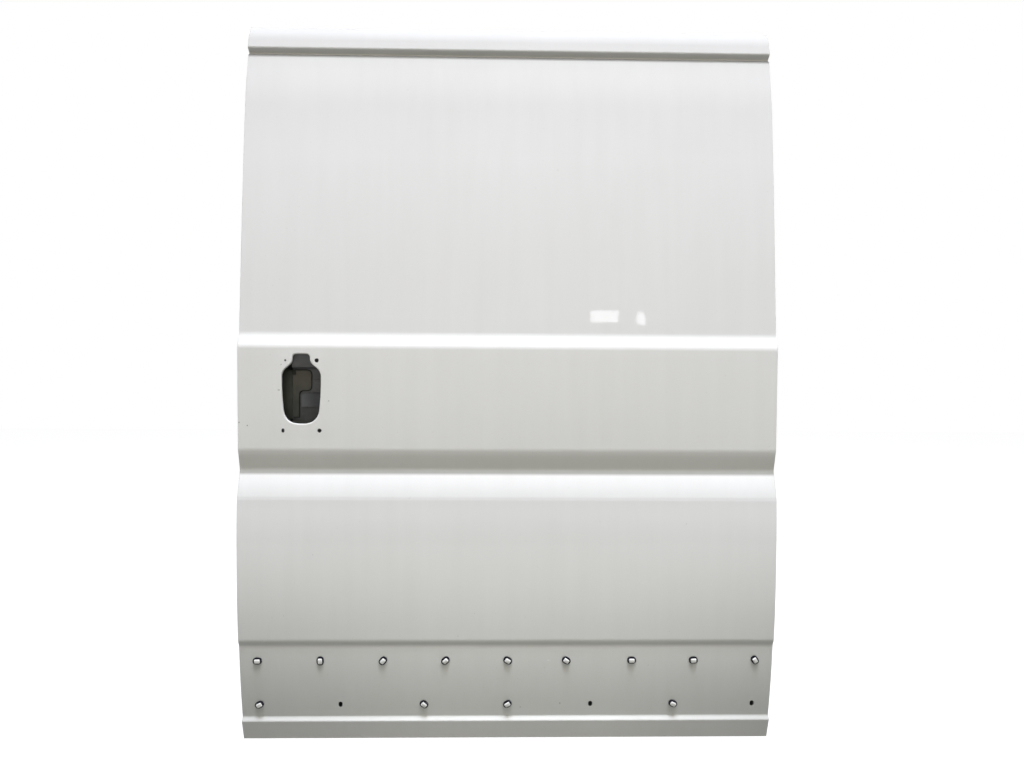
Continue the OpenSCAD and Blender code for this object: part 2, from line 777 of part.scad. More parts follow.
// A hat section [inset, height] on the skin, with its web on the inner side
module hat_section(z0, z1, flange) {
    skin_band(z0, z0 + flange + sheet_t, bond_d0, bond_d1);
    skin_band(z1 - flange - sheet_t, z1, bond_d0, bond_d1);
    skin_band(z0 + flange, z0 + flange + sheet_t, bond_d0, bond_d0 + bow_d);
    skin_band(z1 - flange - sheet_t, z1 - flange, bond_d0, bond_d0 + bow_d);
    skin_band(z0 + flange, z1 - flange, bond_d0 + bow_d - sheet_t, bond_d0 + bow_d);
}

rail_x = wall_x - sheet_t - sheet_gap;
rail_flange = rail_h / 4;

module waist_rail() {
    color("silver") along_x(-rail_x, rail_x) hat_section(rail_z1 - rail_h, rail_z1, rail_flange);
}

beam_z = step_lip_z + bulge_rise - 59;
beam_y = skin_in(beam_z) + beam_in;
bracket_l = 46;

module beam_at() {
    translate([0, beam_y, beam_z]) rotate([0, 90, 0]) children();
}

module impact_beam() {
    x = rail_x - plate_t - sheet_gap;
    color("dimgray") beam_at() difference() {
        translate([0, 0, -x]) cylinder(h = 2 * x, r = beam_r);
        translate([0, 0, -x - overcut]) cylinder(h = 2 * (x + overcut), r = beam_r - beam_wall);
    }
}

// Plate on a side wall with a socket for the beam. s is -1 at the front and 1 at the rear.
module beam_bracket(s) {
    x0 = s > 0 ? rail_x - plate_t : -rail_x;
    color("silver") difference() {
        union() {
            translate([x0, skin_in(beam_z) + 4 * sheet_t, beam_z - 60])
                cube([plate_t, 66, 120]);
            beam_at() translate([0, 0, s > 0 ? rail_x - bracket_l : -rail_x])
                cylinder(h = bracket_l, r = beam_r + sheet_gap + plate_t);
        }
        beam_at() translate([0, 0, s > 0 ? rail_x - bracket_l - overcut : -rail_x + plate_t])
            cylinder(h = bracket_l - plate_t + overcut, r = beam_r + sheet_gap);
    }
}

module beam_bracket_front() { beam_bracket(-1); }
module beam_bracket_rear() { beam_bracket(1); }

// An upright hat section on the skin at x. Its web runs on over the frame's flange.
module skin_bow(x) {
    z0 = bow_z0 + frame_flange + sheet_gap;
    z1 = bow_z1 - frame_flange - sheet_gap;
    end = frame_flange + sheet_gap - 0.3;
    color("silver") union() {
        for (s = [-1, 1]) {
            side = x + s * bow_w / 2;
            along_x(min(side, side + s * bow_flange), max(side, side + s * bow_flange))
                skin_band(z0, z1, bond_d0, bond_d1);
            along_x(min(side, side - s * sheet_t), max(side, side - s * sheet_t)) {
                skin_band(z0, z1, bond_d0, bond_d0 + bow_d);
                skin_band(z0 - end, z1 + end, bond_d1 + sheet_gap, bond_d0 + bow_d);
            }
        }
        along_x(x - bow_w / 2, x + bow_w / 2)
            skin_band(z0 - end, z1 + end, bond_d0 + bow_d - sheet_t, bond_d0 + bow_d);
    }
}

module skin_bow_front() { skin_bow(-bow_pitch); }
module skin_bow_middle() { skin_bow(0); }
module skin_bow_rear() { skin_bow(bow_pitch); }

// Doubler behind the skin round the handle cut-out
doubler_w = bowl_w + 48;
doubler_d0 = sheet_t + sheet_gap;
doubler_d1 = doubler_d0 + 1.5;
doubler_z0 = handle_z0 - 40;
doubler_z1 = min(handle_z1 + 10, belt_top_z - crease_r - 1);

module handle_reinforcement() {
    color("darkgray") difference() {
        along_x(handle_x - doubler_w / 2, handle_x + doubler_w / 2)
            skin_band(doubler_z0, doubler_z1, doubler_d0, doubler_d1);
        along_y(-overcut, back_in / 2) handle_outline(sheet_t + 2.2);
        handle_holes(0.6, handle_flange);
    }
}

// Bracket behind the cut-out that carries the handle. It is open towards the skin and at its
// front end, which lies behind the cut-out's rear two thirds.
bracket_front = handle_x - bowl_w / 4 - 3;
bracket_rear = handle_x + bowl_w / 2 + 6;
bracket_t = 1.5;
bracket_d0 = doubler_d1 + sheet_gap;
bracket_z0 = handle_z0 - 8;
bracket_z1 = doubler_z1 - 1;
bracket_in = skin_in(bracket_z1);
bracket_floor = bracket_in + bracket_d;
neck_foot_z = handle_z1 - neck_h - 11;

// Section of the bracket's hollow, with its inner faces set in by o
module bracket_section(o) {
    front = o > 0 ? -overcut : bracket_d0;
    polygon(concat(
        strip(bracket_z0 + o, bracket_z1 - o, front),
        [[bracket_in + 9 - o, bracket_z1 - o],
         [bracket_in + bracket_neck_d - o, neck_foot_z],
         [bracket_floor - o, neck_foot_z - 6],
         [bracket_floor - o, bracket_z0 + 16],
         [bracket_floor - bracket_d / 2 - o, bracket_z0 + o]]));
}

module handle_bracket() {
    color("lightslategray") union() {
        difference() {
            along_x(bracket_front, bracket_rear) bracket_section(0);
            along_x(bracket_front - overcut, bracket_rear - bracket_t)
                bracket_section(bracket_t);
        }
        translate([bracket_front, bracket_floor - bracket_t, bracket_z0 + 16])
            cube([bracket_t, bracket_t + 8, neck_foot_z - bracket_z0 - 24]);
    }
}

pad_in = bracket_floor - bracket_t - sheet_gap;

// Raised pad on the bracket's floor: a lobe that rounds off into a stem along the open end
module lock_pad() {
    x0 = bracket_front + 1;
    top = neck_foot_z - 9;
    color("darkkhaki") along_y(pad_in - pad_t, pad_in) polygon(outline([
        [x0, bracket_z0 + 24, 2],
        [x0, top, 3],
        [x0 + pad_w, top, pad_r],
        [x0 + pad_w, top - pad_h, pad_r],
        [x0 + stem_w, top - pad_h, pad_r],
        [x0 + stem_w, bracket_z0 + 24, 2]]));
}

// Plate of the lock's lever, under the pad's lobe
module lever_plate() {
    x0 = bracket_front + stem_w + 8;
    x1 = bracket_rear - bracket_t - 2;
    z1 = neck_foot_z - 9 - pad_h - 8;
    color("slategray") along_y(pad_in - lever_t, pad_in) polygon(outline([
        [x0, z1 - lever_h, 2],
        [x0, z1, pad_r],
        [x1, z1, 1],
        [x1, z1 - lever_h, 1]]));
}

// Nuts welded on the front side of a plate that lies across the van
module nuts_y(places, y) {
    for (p = places)
        translate([p[0], y, p[1]]) rotate([90, 0, 0]) cylinder(h = nut_h, r = nut_r, $fn = 36);
}

// Plate behind a seat of the lower panel, with its boss in the seat's pocket
module seat_plate(x, z, h, bolts) {
    y1 = back_in - sheet_t - sheet_gap;
    o = sheet_t + sheet_gap;
    color("dimgray") difference() {
        union() {
            along_y(y1 - plate_t, y1) translate([x, z])
                round_rect(seat_w + 4, h + 4, seat_r);
            along_y(y1 - sheet_t, seat_in - sheet_t - sheet_gap) translate([x, z])
                round_rect(seat_w - 2 * o, h - 2 * o, seat_r - o);
            nuts_y(bolts, y1 - plate_t + 0.5);
        }
        bores_y(bolts, bolt_r, y1 - plate_t - nut_h - overcut, seat_in + overcut);
    }
}

module hinge_reinforcement() { seat_plate(hinge_x, hinge_z, seat_h, hinge_bolts); }
module roller_reinforcement_lower() {
    seat_plate(roller_x, roller_low_z, roller_low_h, roller_low_bolts);
}

module roller_reinforcement_upper() {
    y1 = -sheet_t - sheet_gap;
    o = sheet_t + sheet_gap;
    places = [for (x = upper_bolts) [x, 0]];
    color("dimgray") on_upper_back(roller_x, roller_up_z) difference() {
        union() {
            along_y(y1 - plate_t, y1) round_rect(seat_w - 2 * o, roller_up_h - 2 * o, seat_r - o);
            along_y(y1 - sheet_t, seat_proud - sheet_t - sheet_gap)
                round_rect(seat_w - 2 * o, roller_up_h - 2 * o, seat_r - o);
            nuts_y(places, y1 - plate_t + 0.5);
        }
        bores_y(places, bolt_r, y1 - plate_t - nut_h - overcut, seat_proud + overcut);
    }
}

module lock_reinforcement() {
    x0 = -wall_x + sheet_t + sheet_gap;
    x1 = x0 + plate_t;
    color("dimgray") difference() {
        union() {
            translate([x0, lock_in, lock_z]) rotate([90, 0, 90])
                linear_extrude(plate_t) round_rect(88, 130, 10);
            translate([x1 - 0.5, lock_in, lock_z]) rotate([90, 0, 90])
                for (a = lock_turns) rotate(a) translate([lock_pcd / 2, 0])
                    cylinder(h = nut_h - 1, r = nut_r - 1.5, $fn = 36);
        }
        lock_holes(x0 - overcut, x1 + nut_h + overcut);
    }
}

// A dab of mastic on the skin between x0 and x1 and the heights z0 and z1
module dab(x0, x1, z0, z1) {
    along_x(x0, x1) skin_band(z0, z1, sheet_t + mastic_gap, bond_d0 - mastic_gap);
}

module mastic_upper() {
    n = 4;
    z0 = bow_z0 + frame_flange + 4 * overcut;
    z1 = bow_z1 - frame_flange - 4 * overcut;
    color("dimgray") for (k = [-1, 0, 1], s = [-1, 1], i = [0:n - 1]) {
        x = k * bow_pitch + s * (bow_w + bow_flange) / 2;
        z = z0 + (z1 - z0 - dab_l) * i / (n - 1);
        dab(x - bow_flange / 2 + 2, x + bow_flange / 2 - 2, z, z + dab_l);
    }
}

module mastic_waist() {
    n = 6;
    z1 = rail_z1 - rail_h / 8 + 3;
    z0 = rail_z1 - rail_h + rail_h / 8 - 3;
    color("dimgray") for (i = [0:n - 1]) {
        x = -rail_x + 70 + (2 * rail_x - 140 - dab_l) * i / (n - 1);
        dab(x, x + dab_l, z1 - 6, z1);
        dab(x, x + dab_l, z0, z0 + 6);
    }
}

module mastic_lower() {
    n = 4;
    color("dimgray") for (i = [0:n - 1]) {
        x = ap_xs[i];
        difference() {
            along_x(x - dab_r, x + dab_r)
                skin_band(beam_z - 10, beam_z + 10, sheet_t + mastic_gap, sheet_t + beam_gap + 3);
            beam_at() translate([0, 0, x - dab_r - overcut])
                cylinder(h = 2 * dab_r + 2 * overcut, r = beam_r + mastic_gap);
        }
    }
}

// A clip's place: +Z points out of the skin, with 0 on its surface
module clip_place(c) {
    on_skin(c[0], c[1], mould_tilt) rotate(c[2]) children();
}

module clip_seal(c) {
    color("black") clip_place(c) translate([0, 0, mastic_gap]) difference() {
        linear_extrude(seal_h) oblong(seal_l, seal_w);
        translate([0, 0, -overcut])
            cylinder(h = seal_h + 2 * overcut, r = clip_shank_r + clip_clear);
    }
}

module moulding_clip(c) {
    color("white") clip_place(c) union() {
        translate([0, 0, seal_h + 2 * mastic_gap])
            linear_extrude(clip_h) round_rect(clip_l, clip_w, 3);
        translate([0, 0, -8]) cylinder(h = 8 + seal_h + 1, r = clip_shank_r);
        translate([0, 0, -9]) cylinder(h = 9 - sheet_t - 0.3, r1 = 2.6, r2 = clip_shank_r + 1.3);
    }
}

module clip_seals_upper() { for (c = upper_clips) clip_seal(c); }
module clip_seals_lower() { for (c = lower_clips) clip_seal(c); }

in_row_frame() outer_skin();
in_row_frame() inner_lower_panel();
in_row_frame() inner_upper_frame();
in_row_frame() waist_rail();
in_row_frame() impact_beam();
in_row_frame() beam_bracket_front();
in_row_frame() beam_bracket_rear();
in_row_frame() skin_bow_front();
in_row_frame() skin_bow_middle();
in_row_frame() skin_bow_rear();
in_row_frame() handle_reinforcement();
in_row_frame() handle_bracket();
in_row_frame() lock_pad();
in_row_frame() lever_plate();
in_row_frame() lock_reinforcement();
in_row_frame() hinge_reinforcement();
in_row_frame() roller_reinforcement_upper();
in_row_frame() roller_reinforcement_lower();
in_row_frame() mastic_upper();
in_row_frame() mastic_waist();
in_row_frame() mastic_lower();
in_row_frame() clip_seals_upper();
in_row_frame() clip_seals_lower();
in_row_frame() moulding_clip(upper_clips[0]);  // moulding_clip_upper_1
in_row_frame() moulding_clip(upper_clips[1]);  // moulding_clip_upper_2
in_row_frame() moulding_clip(upper_clips[2]);  // moulding_clip_upper_3
in_row_frame() moulding_clip(upper_clips[3]);  // moulding_clip_upper_4
in_row_frame() moulding_clip(upper_clips[4]);  // moulding_clip_upper_5
in_row_frame() moulding_clip(upper_clips[5]);  // moulding_clip_upper_6
in_row_frame() moulding_clip(upper_clips[6]);  // moulding_clip_upper_7
in_row_frame() moulding_clip(upper_clips[7]);  // moulding_clip_upper_8
in_row_frame() moulding_clip(upper_clips[8]);  // moulding_clip_upper_9
in_row_frame() moulding_clip(lower_clips[0]);  // moulding_clip_lower_1
in_row_frame() moulding_clip(lower_clips[1]);  // moulding_clip_lower_2
in_row_frame() moulding_clip(lower_clips[2]);  // moulding_clip_lower_3
in_row_frame() moulding_clip(lower_clips[3]);  // moulding_clip_lower_4
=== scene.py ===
"""Looks of a van's sliding side door: its skin, clips, pressings, paint, light and camera."""

import math

import bpy
from mathutils import Matrix, Vector, geometry


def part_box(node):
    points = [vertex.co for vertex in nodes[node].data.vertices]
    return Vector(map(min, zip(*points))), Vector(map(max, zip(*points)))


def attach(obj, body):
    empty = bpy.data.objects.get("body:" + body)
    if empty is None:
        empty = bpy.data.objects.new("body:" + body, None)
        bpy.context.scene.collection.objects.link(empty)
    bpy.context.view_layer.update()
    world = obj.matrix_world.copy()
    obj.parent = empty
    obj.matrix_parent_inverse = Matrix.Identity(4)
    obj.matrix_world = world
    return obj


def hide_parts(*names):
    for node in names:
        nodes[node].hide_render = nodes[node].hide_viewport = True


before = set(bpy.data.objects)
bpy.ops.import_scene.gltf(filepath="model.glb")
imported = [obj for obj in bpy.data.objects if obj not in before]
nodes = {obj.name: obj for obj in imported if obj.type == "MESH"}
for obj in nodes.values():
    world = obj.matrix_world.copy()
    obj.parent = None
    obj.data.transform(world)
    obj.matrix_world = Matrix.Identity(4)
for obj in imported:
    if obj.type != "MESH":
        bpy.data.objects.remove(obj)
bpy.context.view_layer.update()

# Door frame, in mm: x along the van from mid-width, y inwards from the widest point of the
# skin, z up from the bottom edge. The row frame has its origin on the rear hinge seat.
MM = 0.001
ORIGIN = Vector((0.600, 0.115, 0.705))
SKIN_LO, SKIN_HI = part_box("outer_skin")
EDGE_X = (SKIN_HI.x - SKIN_LO.x) / 2 / MM
HEIGHT = (SKIN_HI.z - SKIN_LO.z) / MM
SHEET, SHEET_GAP = 1.2, 0.2
HEM_R, HEM_W, HEM_D = 2.0, 14.0, 4.0

# Handle cut-out: half widths of its neck, bowl and foot, drops from its top to the neck's end
# and the shoulder, and the share of its height where the bowl starts to narrow
HANDLE_X, HANDLE_Z0, HANDLE_Z1 = -521.5, 818.0, 993.0
NECK_HALF_W, BOWL_HALF_W, FOOT_HALF_W = 21.5, 48.5, 42.0
NECK_DROP, SHOULDER_DROP, BOWL_SHARE = 21.0, 44.0, 0.45
FLANGE_R, FLANGE_D = 3.0, 7.0

# Holes round the cut-out: two for screws, a small one and a slot. Each lies beside its middle,
# below its top or below its foot
SCREW_R, LOCATOR_R = 5.0, 2.5
HANDLE_SLOT_W, HANDLE_SLOT_H = 7.0, 10.0
UPPER_HOLE_X, UPPER_HOLE_DROP = 39.0, 16.0
LOWER_HOLE_X, LOWER_HOLE_DROP = 45.5, 17.0

# Band that the moulding covers, with its clips and empty slots. One upper clip is out of step,
# and each clip is turned by its own number of degrees
LEDGE_Z, STEP_Z = 62.0, 255.0
CLIP_UP_Z, CLIP_LOW_Z, CLIP_RISE = 215.0, 96.0, 1.0
UP_TURNS = [2, 92, 50, 42, -32, -34, 1, 3, -58]
CLIP_INSET = 46.0
CLIP_PITCH = (2 * EDGE_X - 2 * CLIP_INSET) / (len(UP_TURNS) - 1)
SHIFTED_CLIP, CLIP_SHIFT = 5, 9.0
LOW_CLIPS = [(-634.0, 28), (-214.0, -42), (0.0, 33), (428.0, -30)]
SLOT_XS = [-428.0, 214.0, 634.0]
SLOT_W, SLOT_H = 10.0, 14.2


def at(x, y, z):
    """A point of the door frame, in the row frame."""
    return Vector((x, y, z)) * MM - ORIGIN


def door_box(name):
    """Lower and upper corner [x, y, z] of a node's box, in the door frame."""
    return [[(c + o) / MM for c, o in zip(corner, ORIGIN)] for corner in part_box(name)]


def lerp(a, b, t):
    return a + (b - a) * t


def smooth(a, b, x):
    """A soft step from 0 at a to 1 at b."""
    t = min(max((x - a) / (b - a), 0.0), 1.0)
    return t * t * (3 - 2 * t)


# The skin's section, read from the CAD skin's front edge

# The lip over the gutter hangs lower in the photograph than in the CAD, in line with the band
LIP_LO, LIP_HI, LIP_BLEND, LIP_DROP, LIP_OUT = 1779.0, 1798.0, 11.0, 6.5, 1.7
# A stretch this many times as long as its neighbour is a straight, and gives the slope there
STRAIGHT = 2.5


def sagged(z, y):
    """A point of the CAD skin's section, with the lip's small drop."""
    share = smooth(LIP_LO, LIP_LO + LIP_BLEND, z) if z < LIP_HI else 0
    return z - LIP_DROP * share, y - LIP_OUT * share


def read_section():
    """[z, y, slope] of the skin's outer line, from the vertices on its front edge."""
    line = {}
    for v in nodes["outer_skin"].data.vertices:
        if v.co.x < SKIN_LO.x + 1e-5:
            z = round((v.co.z + ORIGIN.z) / MM, 3)
            line[z] = min(line.get(z, 1e9), (v.co.y + ORIGIN.y) / MM)
    points = sorted(sagged(z, y) for z, y in line.items())
    slopes = [(b[1] - a[1]) / (b[0] - a[0]) for a, b in zip(points, points[1:])]
    lengths = [math.dist(a, b) for a, b in zip(points, points[1:])]
    out = []
    for i, (z, y) in enumerate(points):
        if i == 0:
            m = slopes[0]
        elif i == len(points) - 1:
            m = slopes[-1]
        elif lengths[i - 1] > STRAIGHT * lengths[i]:
            m = slopes[i - 1]
        elif lengths[i] > STRAIGHT * lengths[i - 1]:
            m = slopes[i]
        else:
            total = lengths[i - 1] + lengths[i]
            m = (slopes[i - 1] * lengths[i - 1] + slopes[i] * lengths[i]) / total
        out.append((z, y, m))
    return out


SECTION = read_section()


def skin_at(z):
    """Inset and slope of the skin's outer face at a height."""
    z = min(max(z, SECTION[0][0]), SECTION[-1][0])
    for (z0, y0, m0), (z1, y1, m1) in zip(SECTION, SECTION[1:]):
        if z <= z1:
            break
    h = z1 - z0
    t = (z - z0) / h
    y = (
        (2 * t**3 - 3 * t**2 + 1) * y0
        + (t**3 - 2 * t**2 + t) * h * m0
        + (3 * t**2 - 2 * t**3) * y1
        + (t**3 - t**2) * h * m1
    )
    m = ((6 * t**2 - 6 * t) * (y0 - y1)) / h + (3 * t**2 - 4 * t + 1) * m0 + (3 * t**2 - 2 * t) * m1
    return y, m


# Shallow pad round the handle cut-out, and crowns of the moulding band and the cove
PAD_HALF_W, PAD_Z0, PAD_Z1, PAD_R = 84.0, 778.0, 1004.0, 40.0
PAD_PROUD, PAD_BLEND = 0.25, 22.0
BAND_BOW = 3.2
COVE_Z0, COVE_Z1, COVE_BOW = 631.0, 699.0, 2.0


def relief(x, z):
    """How far the skin stands off its section: a shallow pad round the handle cut-out, and
    slight crowns on the cove and on the band that the moulding covers."""
    dx = abs(x - HANDLE_X) - (PAD_HALF_W - PAD_R)
    dz = abs(z - (PAD_Z0 + PAD_Z1) / 2) - ((PAD_Z1 - PAD_Z0) / 2 - PAD_R)
    d = math.hypot(max(dx, 0), max(dz, 0)) + min(max(dx, dz), 0) - PAD_R
    proud = PAD_PROUD * (1 - smooth(-PAD_BLEND, 0, d))
    t = (z - LEDGE_Z) / (STEP_Z - LEDGE_Z)
    if 0 < t < 1:
        proud += BAND_BOW * 4 * t * (1 - t)
    t = (z - COVE_Z0) / (COVE_Z1 - COVE_Z0)
    if 0 < t < 1:
        proud += COVE_BOW * 4 * t * (1 - t)
    return -proud


def surface(x, z):
    """Inset and outward normal of the skin's outer face."""
    y, m = skin_at(z)
    e = 0.5
    fx = (relief(x + e, z) - relief(x - e, z)) / (2 * e)
    fz = (relief(x, z + e) - relief(x, z - e)) / (2 * e)
    return y + relief(x, z), Vector((fx, -1, m + fz)).normalized()


# Outlines of holes, as points [x, z] with the direction away from the hole


def anticlockwise(points):
    """Whether a closed line of points [x, z] runs anticlockwise, with x to the right."""
    pairs = zip(points, points[1:] + points[:1])
    return sum(a[0] * b[1] - b[0] * a[1] for a, b in pairs) > 0


def with_normals(points):
    """Adds to each point of a closed line its unit direction away from the inside."""
    n = len(points)
    side = 1 if anticlockwise(points) else -1
    out = []
    for i in range(n):
        a, b = points[i - 1], points[(i + 1) % n]
        t = Vector((b[0] - a[0], b[1] - a[1])).normalized()
        out.append((points[i][0], points[i][1], side * t.y, -side * t.x))
    return out


def ring(cx, cz, r, n=28):
    return with_normals(
        [
            (cx + r * math.cos(2 * math.pi * i / n), cz + r * math.sin(2 * math.pi * i / n))
            for i in range(n)
        ]
    )


def oblong(cx, cz, w, h, n=12):
    r = min(w, h) / 2
    points = []
    for s, start in ((1, 0), (-1, math.pi)):
        for i in range(n + 1):
            a = start + math.pi * i / n
            points.append((cx + r * math.cos(a), cz + s * (h / 2 - r) + r * math.sin(a)))
    return with_normals(points)


# A corner's blend takes at most this share of a side, and points this close count as one
BLEND_SHARE, LEAST_GAP = 0.49, 0.05


def rounded(corners, step=5.0, curve=9):
    """A closed line through corners [x, z, blend length], with points at most step apart."""
    n = len(corners)
    line = []
    for i in range(n):
        a, b, c = (Vector(corners[(i + k) % n][:2]) for k in (-1, 0, 1))
        s = min(corners[i][2], BLEND_SHARE * (a - b).length, BLEND_SHARE * (c - b).length)
        p = b + (a - b).normalized() * s
        q = b + (c - b).normalized() * s
        for k in range(curve + 1):
            t = k / curve
            line.append((1 - t) ** 2 * p + 2 * t * (1 - t) * b + t * t * q)
    out = []
    for a, b in zip(line, line[1:] + line[:1]):
        gap = (b - a).length
        if gap < LEAST_GAP:
            continue
        parts = max(1, math.ceil(gap / step))
        for k in range(parts):
            p = a.lerp(b, k / parts)
            out.append((p.x, p.y))
    return out


def handle_line():
    """The handle cut-out's outline."""
    half = [
        (NECK_HALF_W, HANDLE_Z1, 13),
        (NECK_HALF_W, HANDLE_Z1 - NECK_DROP, 12),
        (BOWL_HALF_W, HANDLE_Z1 - SHOULDER_DROP, 14),
        (BOWL_HALF_W, HANDLE_Z0 + BOWL_SHARE * (HANDLE_Z1 - HANDLE_Z0), 28),
        (FOOT_HALF_W, HANDLE_Z0, 38),
    ]
    corners = half + [(-x, z, r) for x, z, r in reversed(half)]
    return with_normals(rounded([(HANDLE_X + x, z, r) for x, z, r in corners]))


# Profiles of rims, as [distance from the hole's or the door's edge, depth, share of the sheet's
# normal, share of the direction out of the sheet]

# A flange's cut edge is rounded over a length, by a point that lies in from its side and its end
EDGE_ROUND, EDGE_IN, EDGE_UP = 0.4, 0.17, 0.1
HEM_ROUND, HEM_INNER_ROUND = 0.35, 0.25
RIM_STEPS, HEM_STEPS, HEM_INNER_STEPS = 7, 12, 6
SLANT = 0.7


def rolled_rim(r, depth):
    """A flange that rolls inwards from the outer face with radius r, down to a depth."""
    out = []
    for k in range(RIM_STEPS + 1):
        a = math.pi / 2 * k / RIM_STEPS
        s, c = math.sin(a), math.cos(a)
        out.append((r - r * s, r - r * c, c, s))
    out += [
        (0, depth - EDGE_ROUND, 0, 1),
        (EDGE_IN, depth - EDGE_UP, -SLANT, SLANT),
        (SHEET / 2, depth, -1, 0),
        (SHEET - EDGE_IN, depth - EDGE_UP, -SLANT, -SLANT),
        (SHEET, depth - EDGE_ROUND, 0, -1),
    ]
    inner = r - SHEET
    for k in range(RIM_STEPS + 1):
        a = math.pi / 2 * k / RIM_STEPS
        s, c = math.sin(a), math.cos(a)
        out.append((r - inner * c, r - inner * s, -s, -c))
    return out


PIERCED_RIM = [
    (0.5, 0, 1, 0),
    (0.15, 0.12, SLANT, SLANT),
    (0, 0.45, 0, 1),
    (0, 0.8, 0, 1),
    (0.15, 1.08, -SLANT, SLANT),
    (0.5, SHEET, -1, 0),
]


def hem_rim():
    """The door's edge: the sheet rolls over and comes back along its inner face."""
    out = []
    for k in range(HEM_STEPS + 1):
        a = math.pi * k / HEM_STEPS
        s, c = math.sin(a), math.cos(a)
        out.append((HEM_R - HEM_R * s, HEM_R - HEM_R * c, c, s))
    under = HEM_D - SHEET
    out += [
        (HEM_W - HEM_ROUND, HEM_D, -1, 0),
        (HEM_W, HEM_D - HEM_ROUND, 0, -1),
        (HEM_W, under + HEM_INNER_ROUND, 0, -1),
        (HEM_W - HEM_INNER_ROUND, under, 1, 0),
    ]
    inner = HEM_R - SHEET
    for k in range(HEM_INNER_STEPS + 1):
        a = math.pi * k / HEM_INNER_STEPS
        s, c = math.sin(a), math.cos(a)
        out.append((HEM_R - inner * s, HEM_R + inner * c, c, -s))
    return out


class Mesh:
    """Points with their own normals, and faces. A face takes the slot that is set when it's made."""

    def __init__(self):
        self.points, self.normals, self.faces, self.slots = [], [], [], []
        self.slot = 0

    def add(self, x, y, z, normal):
        self.points.append(at(x, y, z))
        self.normals.append(normal)
        return len(self.points) - 1

    def face(self, *index):
        kept = []
        for i in index:
            if all((self.points[i] - self.points[k]).length > 2e-6 for k in kept):
                kept.append(i)
        if len(kept) > 2:
            self.faces.append(kept)
            self.slots.append(self.slot)

    def strip(self, a, b):
        """Quads between two closed lines of as many points."""
        n = len(a)
        for i in range(n):
            j = (i + 1) % n
            self.face(a[i], a[j], b[j], b[i])

    def build(self, name):
        me = bpy.data.meshes.new(name)
        me.from_pydata(self.points, [], self.faces)
        me.polygons.foreach_set("use_smooth", [True] * len(me.polygons))
        me.polygons.foreach_set("material_index", self.slots)
        me.update()
        me.normals_split_custom_set_from_vertices([n.normalized() for n in self.normals])
        obj = bpy.data.objects.new(name, me)
        bpy.context.scene.collection.objects.link(obj)
        return obj


def inside(loop, x, z):
    """Whether a point lies within a closed line."""
    hit = False
    n = len(loop)
    for i in range(n):
        x0, z0 = loop[i - 1][:2]
        x1, z1 = loop[i][:2]
        if (z0 > z) != (z1 > z) and x < x0 + (z - z0) * (x1 - x0) / (z1 - z0):
            hit = not hit
    return hit


# The skin's grid: its tallest row, its number of columns and its least gaps beside a patch, and
# the patches that are left out of it round the holes
ROW_MAX, COLUMN_COUNT, COLUMN_GAP, ROW_GAP = 60.0, 30, 9.0, 4.0
HANDLE_PATCH_HALF_W, HANDLE_PATCH_Z0, HANDLE_PATCH_Z1 = 94.0, 770.0, 1006.0
SLOT_PATCH_HALF_W, SLOT_PATCH_HALF_H = 15.0, 16.0
PATCH_STEP, PATCH_GAP, TINY = 6.0, 0.45, 1e-6
# Material slots of the skin: paint outside, primer inside
PAINTED, PRIMED = 0, 1


def grid_lines():
    """Columns and rows of the sheet's grid. Rows lie close together on the creases."""
    rows = []
    for (z0, _, m0), (z1, _, m1) in zip(SECTION, SECTION[1:]):
        curved = abs(m1 - m0) > 1e-4
        parts = 2 if curved else max(1, math.ceil((z1 - z0) / ROW_MAX))
        rows += [lerp(z0, z1, k / parts) for k in range(parts)]
    rows = [z for z in rows if HEM_R + 1 < z < HEIGHT - HEM_R - 1] + [HEM_R, HEIGHT - HEM_R]
    side = EDGE_X - HEM_R
    columns = [lerp(-side, side, k / COLUMN_COUNT) for k in range(COLUMN_COUNT + 1)]
    return columns, rows


def snapped(values, marks, gap):
    """Sorted values with the marks among them and nothing else within gap of a mark."""
    lo, hi = min(values), max(values)
    kept = [v for v in values if v in (lo, hi) or all(abs(v - m) > gap for m in marks)]
    return sorted(set(kept) | set(marks))


def hole_patches():
    """Rectangles [x0, x1, z0, z1] of the skin, each with its holes [outline, rim]."""
    upper, lower = HANDLE_Z1 - UPPER_HOLE_DROP, HANDLE_Z0 - LOWER_HOLE_DROP
    handle_holes = [
        (handle_line(), rolled_rim(FLANGE_R, FLANGE_D)),
        (ring(HANDLE_X + UPPER_HOLE_X, upper, SCREW_R), PIERCED_RIM),
        (ring(HANDLE_X + LOWER_HOLE_X, lower, SCREW_R), PIERCED_RIM),
        (ring(HANDLE_X - UPPER_HOLE_X, upper, LOCATOR_R, n=20), PIERCED_RIM),
        (oblong(HANDLE_X - LOWER_HOLE_X, lower, HANDLE_SLOT_W, HANDLE_SLOT_H), PIERCED_RIM),
    ]
    x0, x1 = HANDLE_X - HANDLE_PATCH_HALF_W, HANDLE_X + HANDLE_PATCH_HALF_W
    patches = [((x0, x1, HANDLE_PATCH_Z0, HANDLE_PATCH_Z1), handle_holes)]
    z0, z1 = CLIP_LOW_Z - SLOT_PATCH_HALF_H, CLIP_LOW_Z + SLOT_PATCH_HALF_H
    for x in SLOT_XS:
        rect = (x - SLOT_PATCH_HALF_W, x + SLOT_PATCH_HALF_W, z0, z1)
        patches.append((rect, [(oblong(x, CLIP_LOW_Z, SLOT_W, SLOT_H), PIERCED_RIM)]))
    return patches


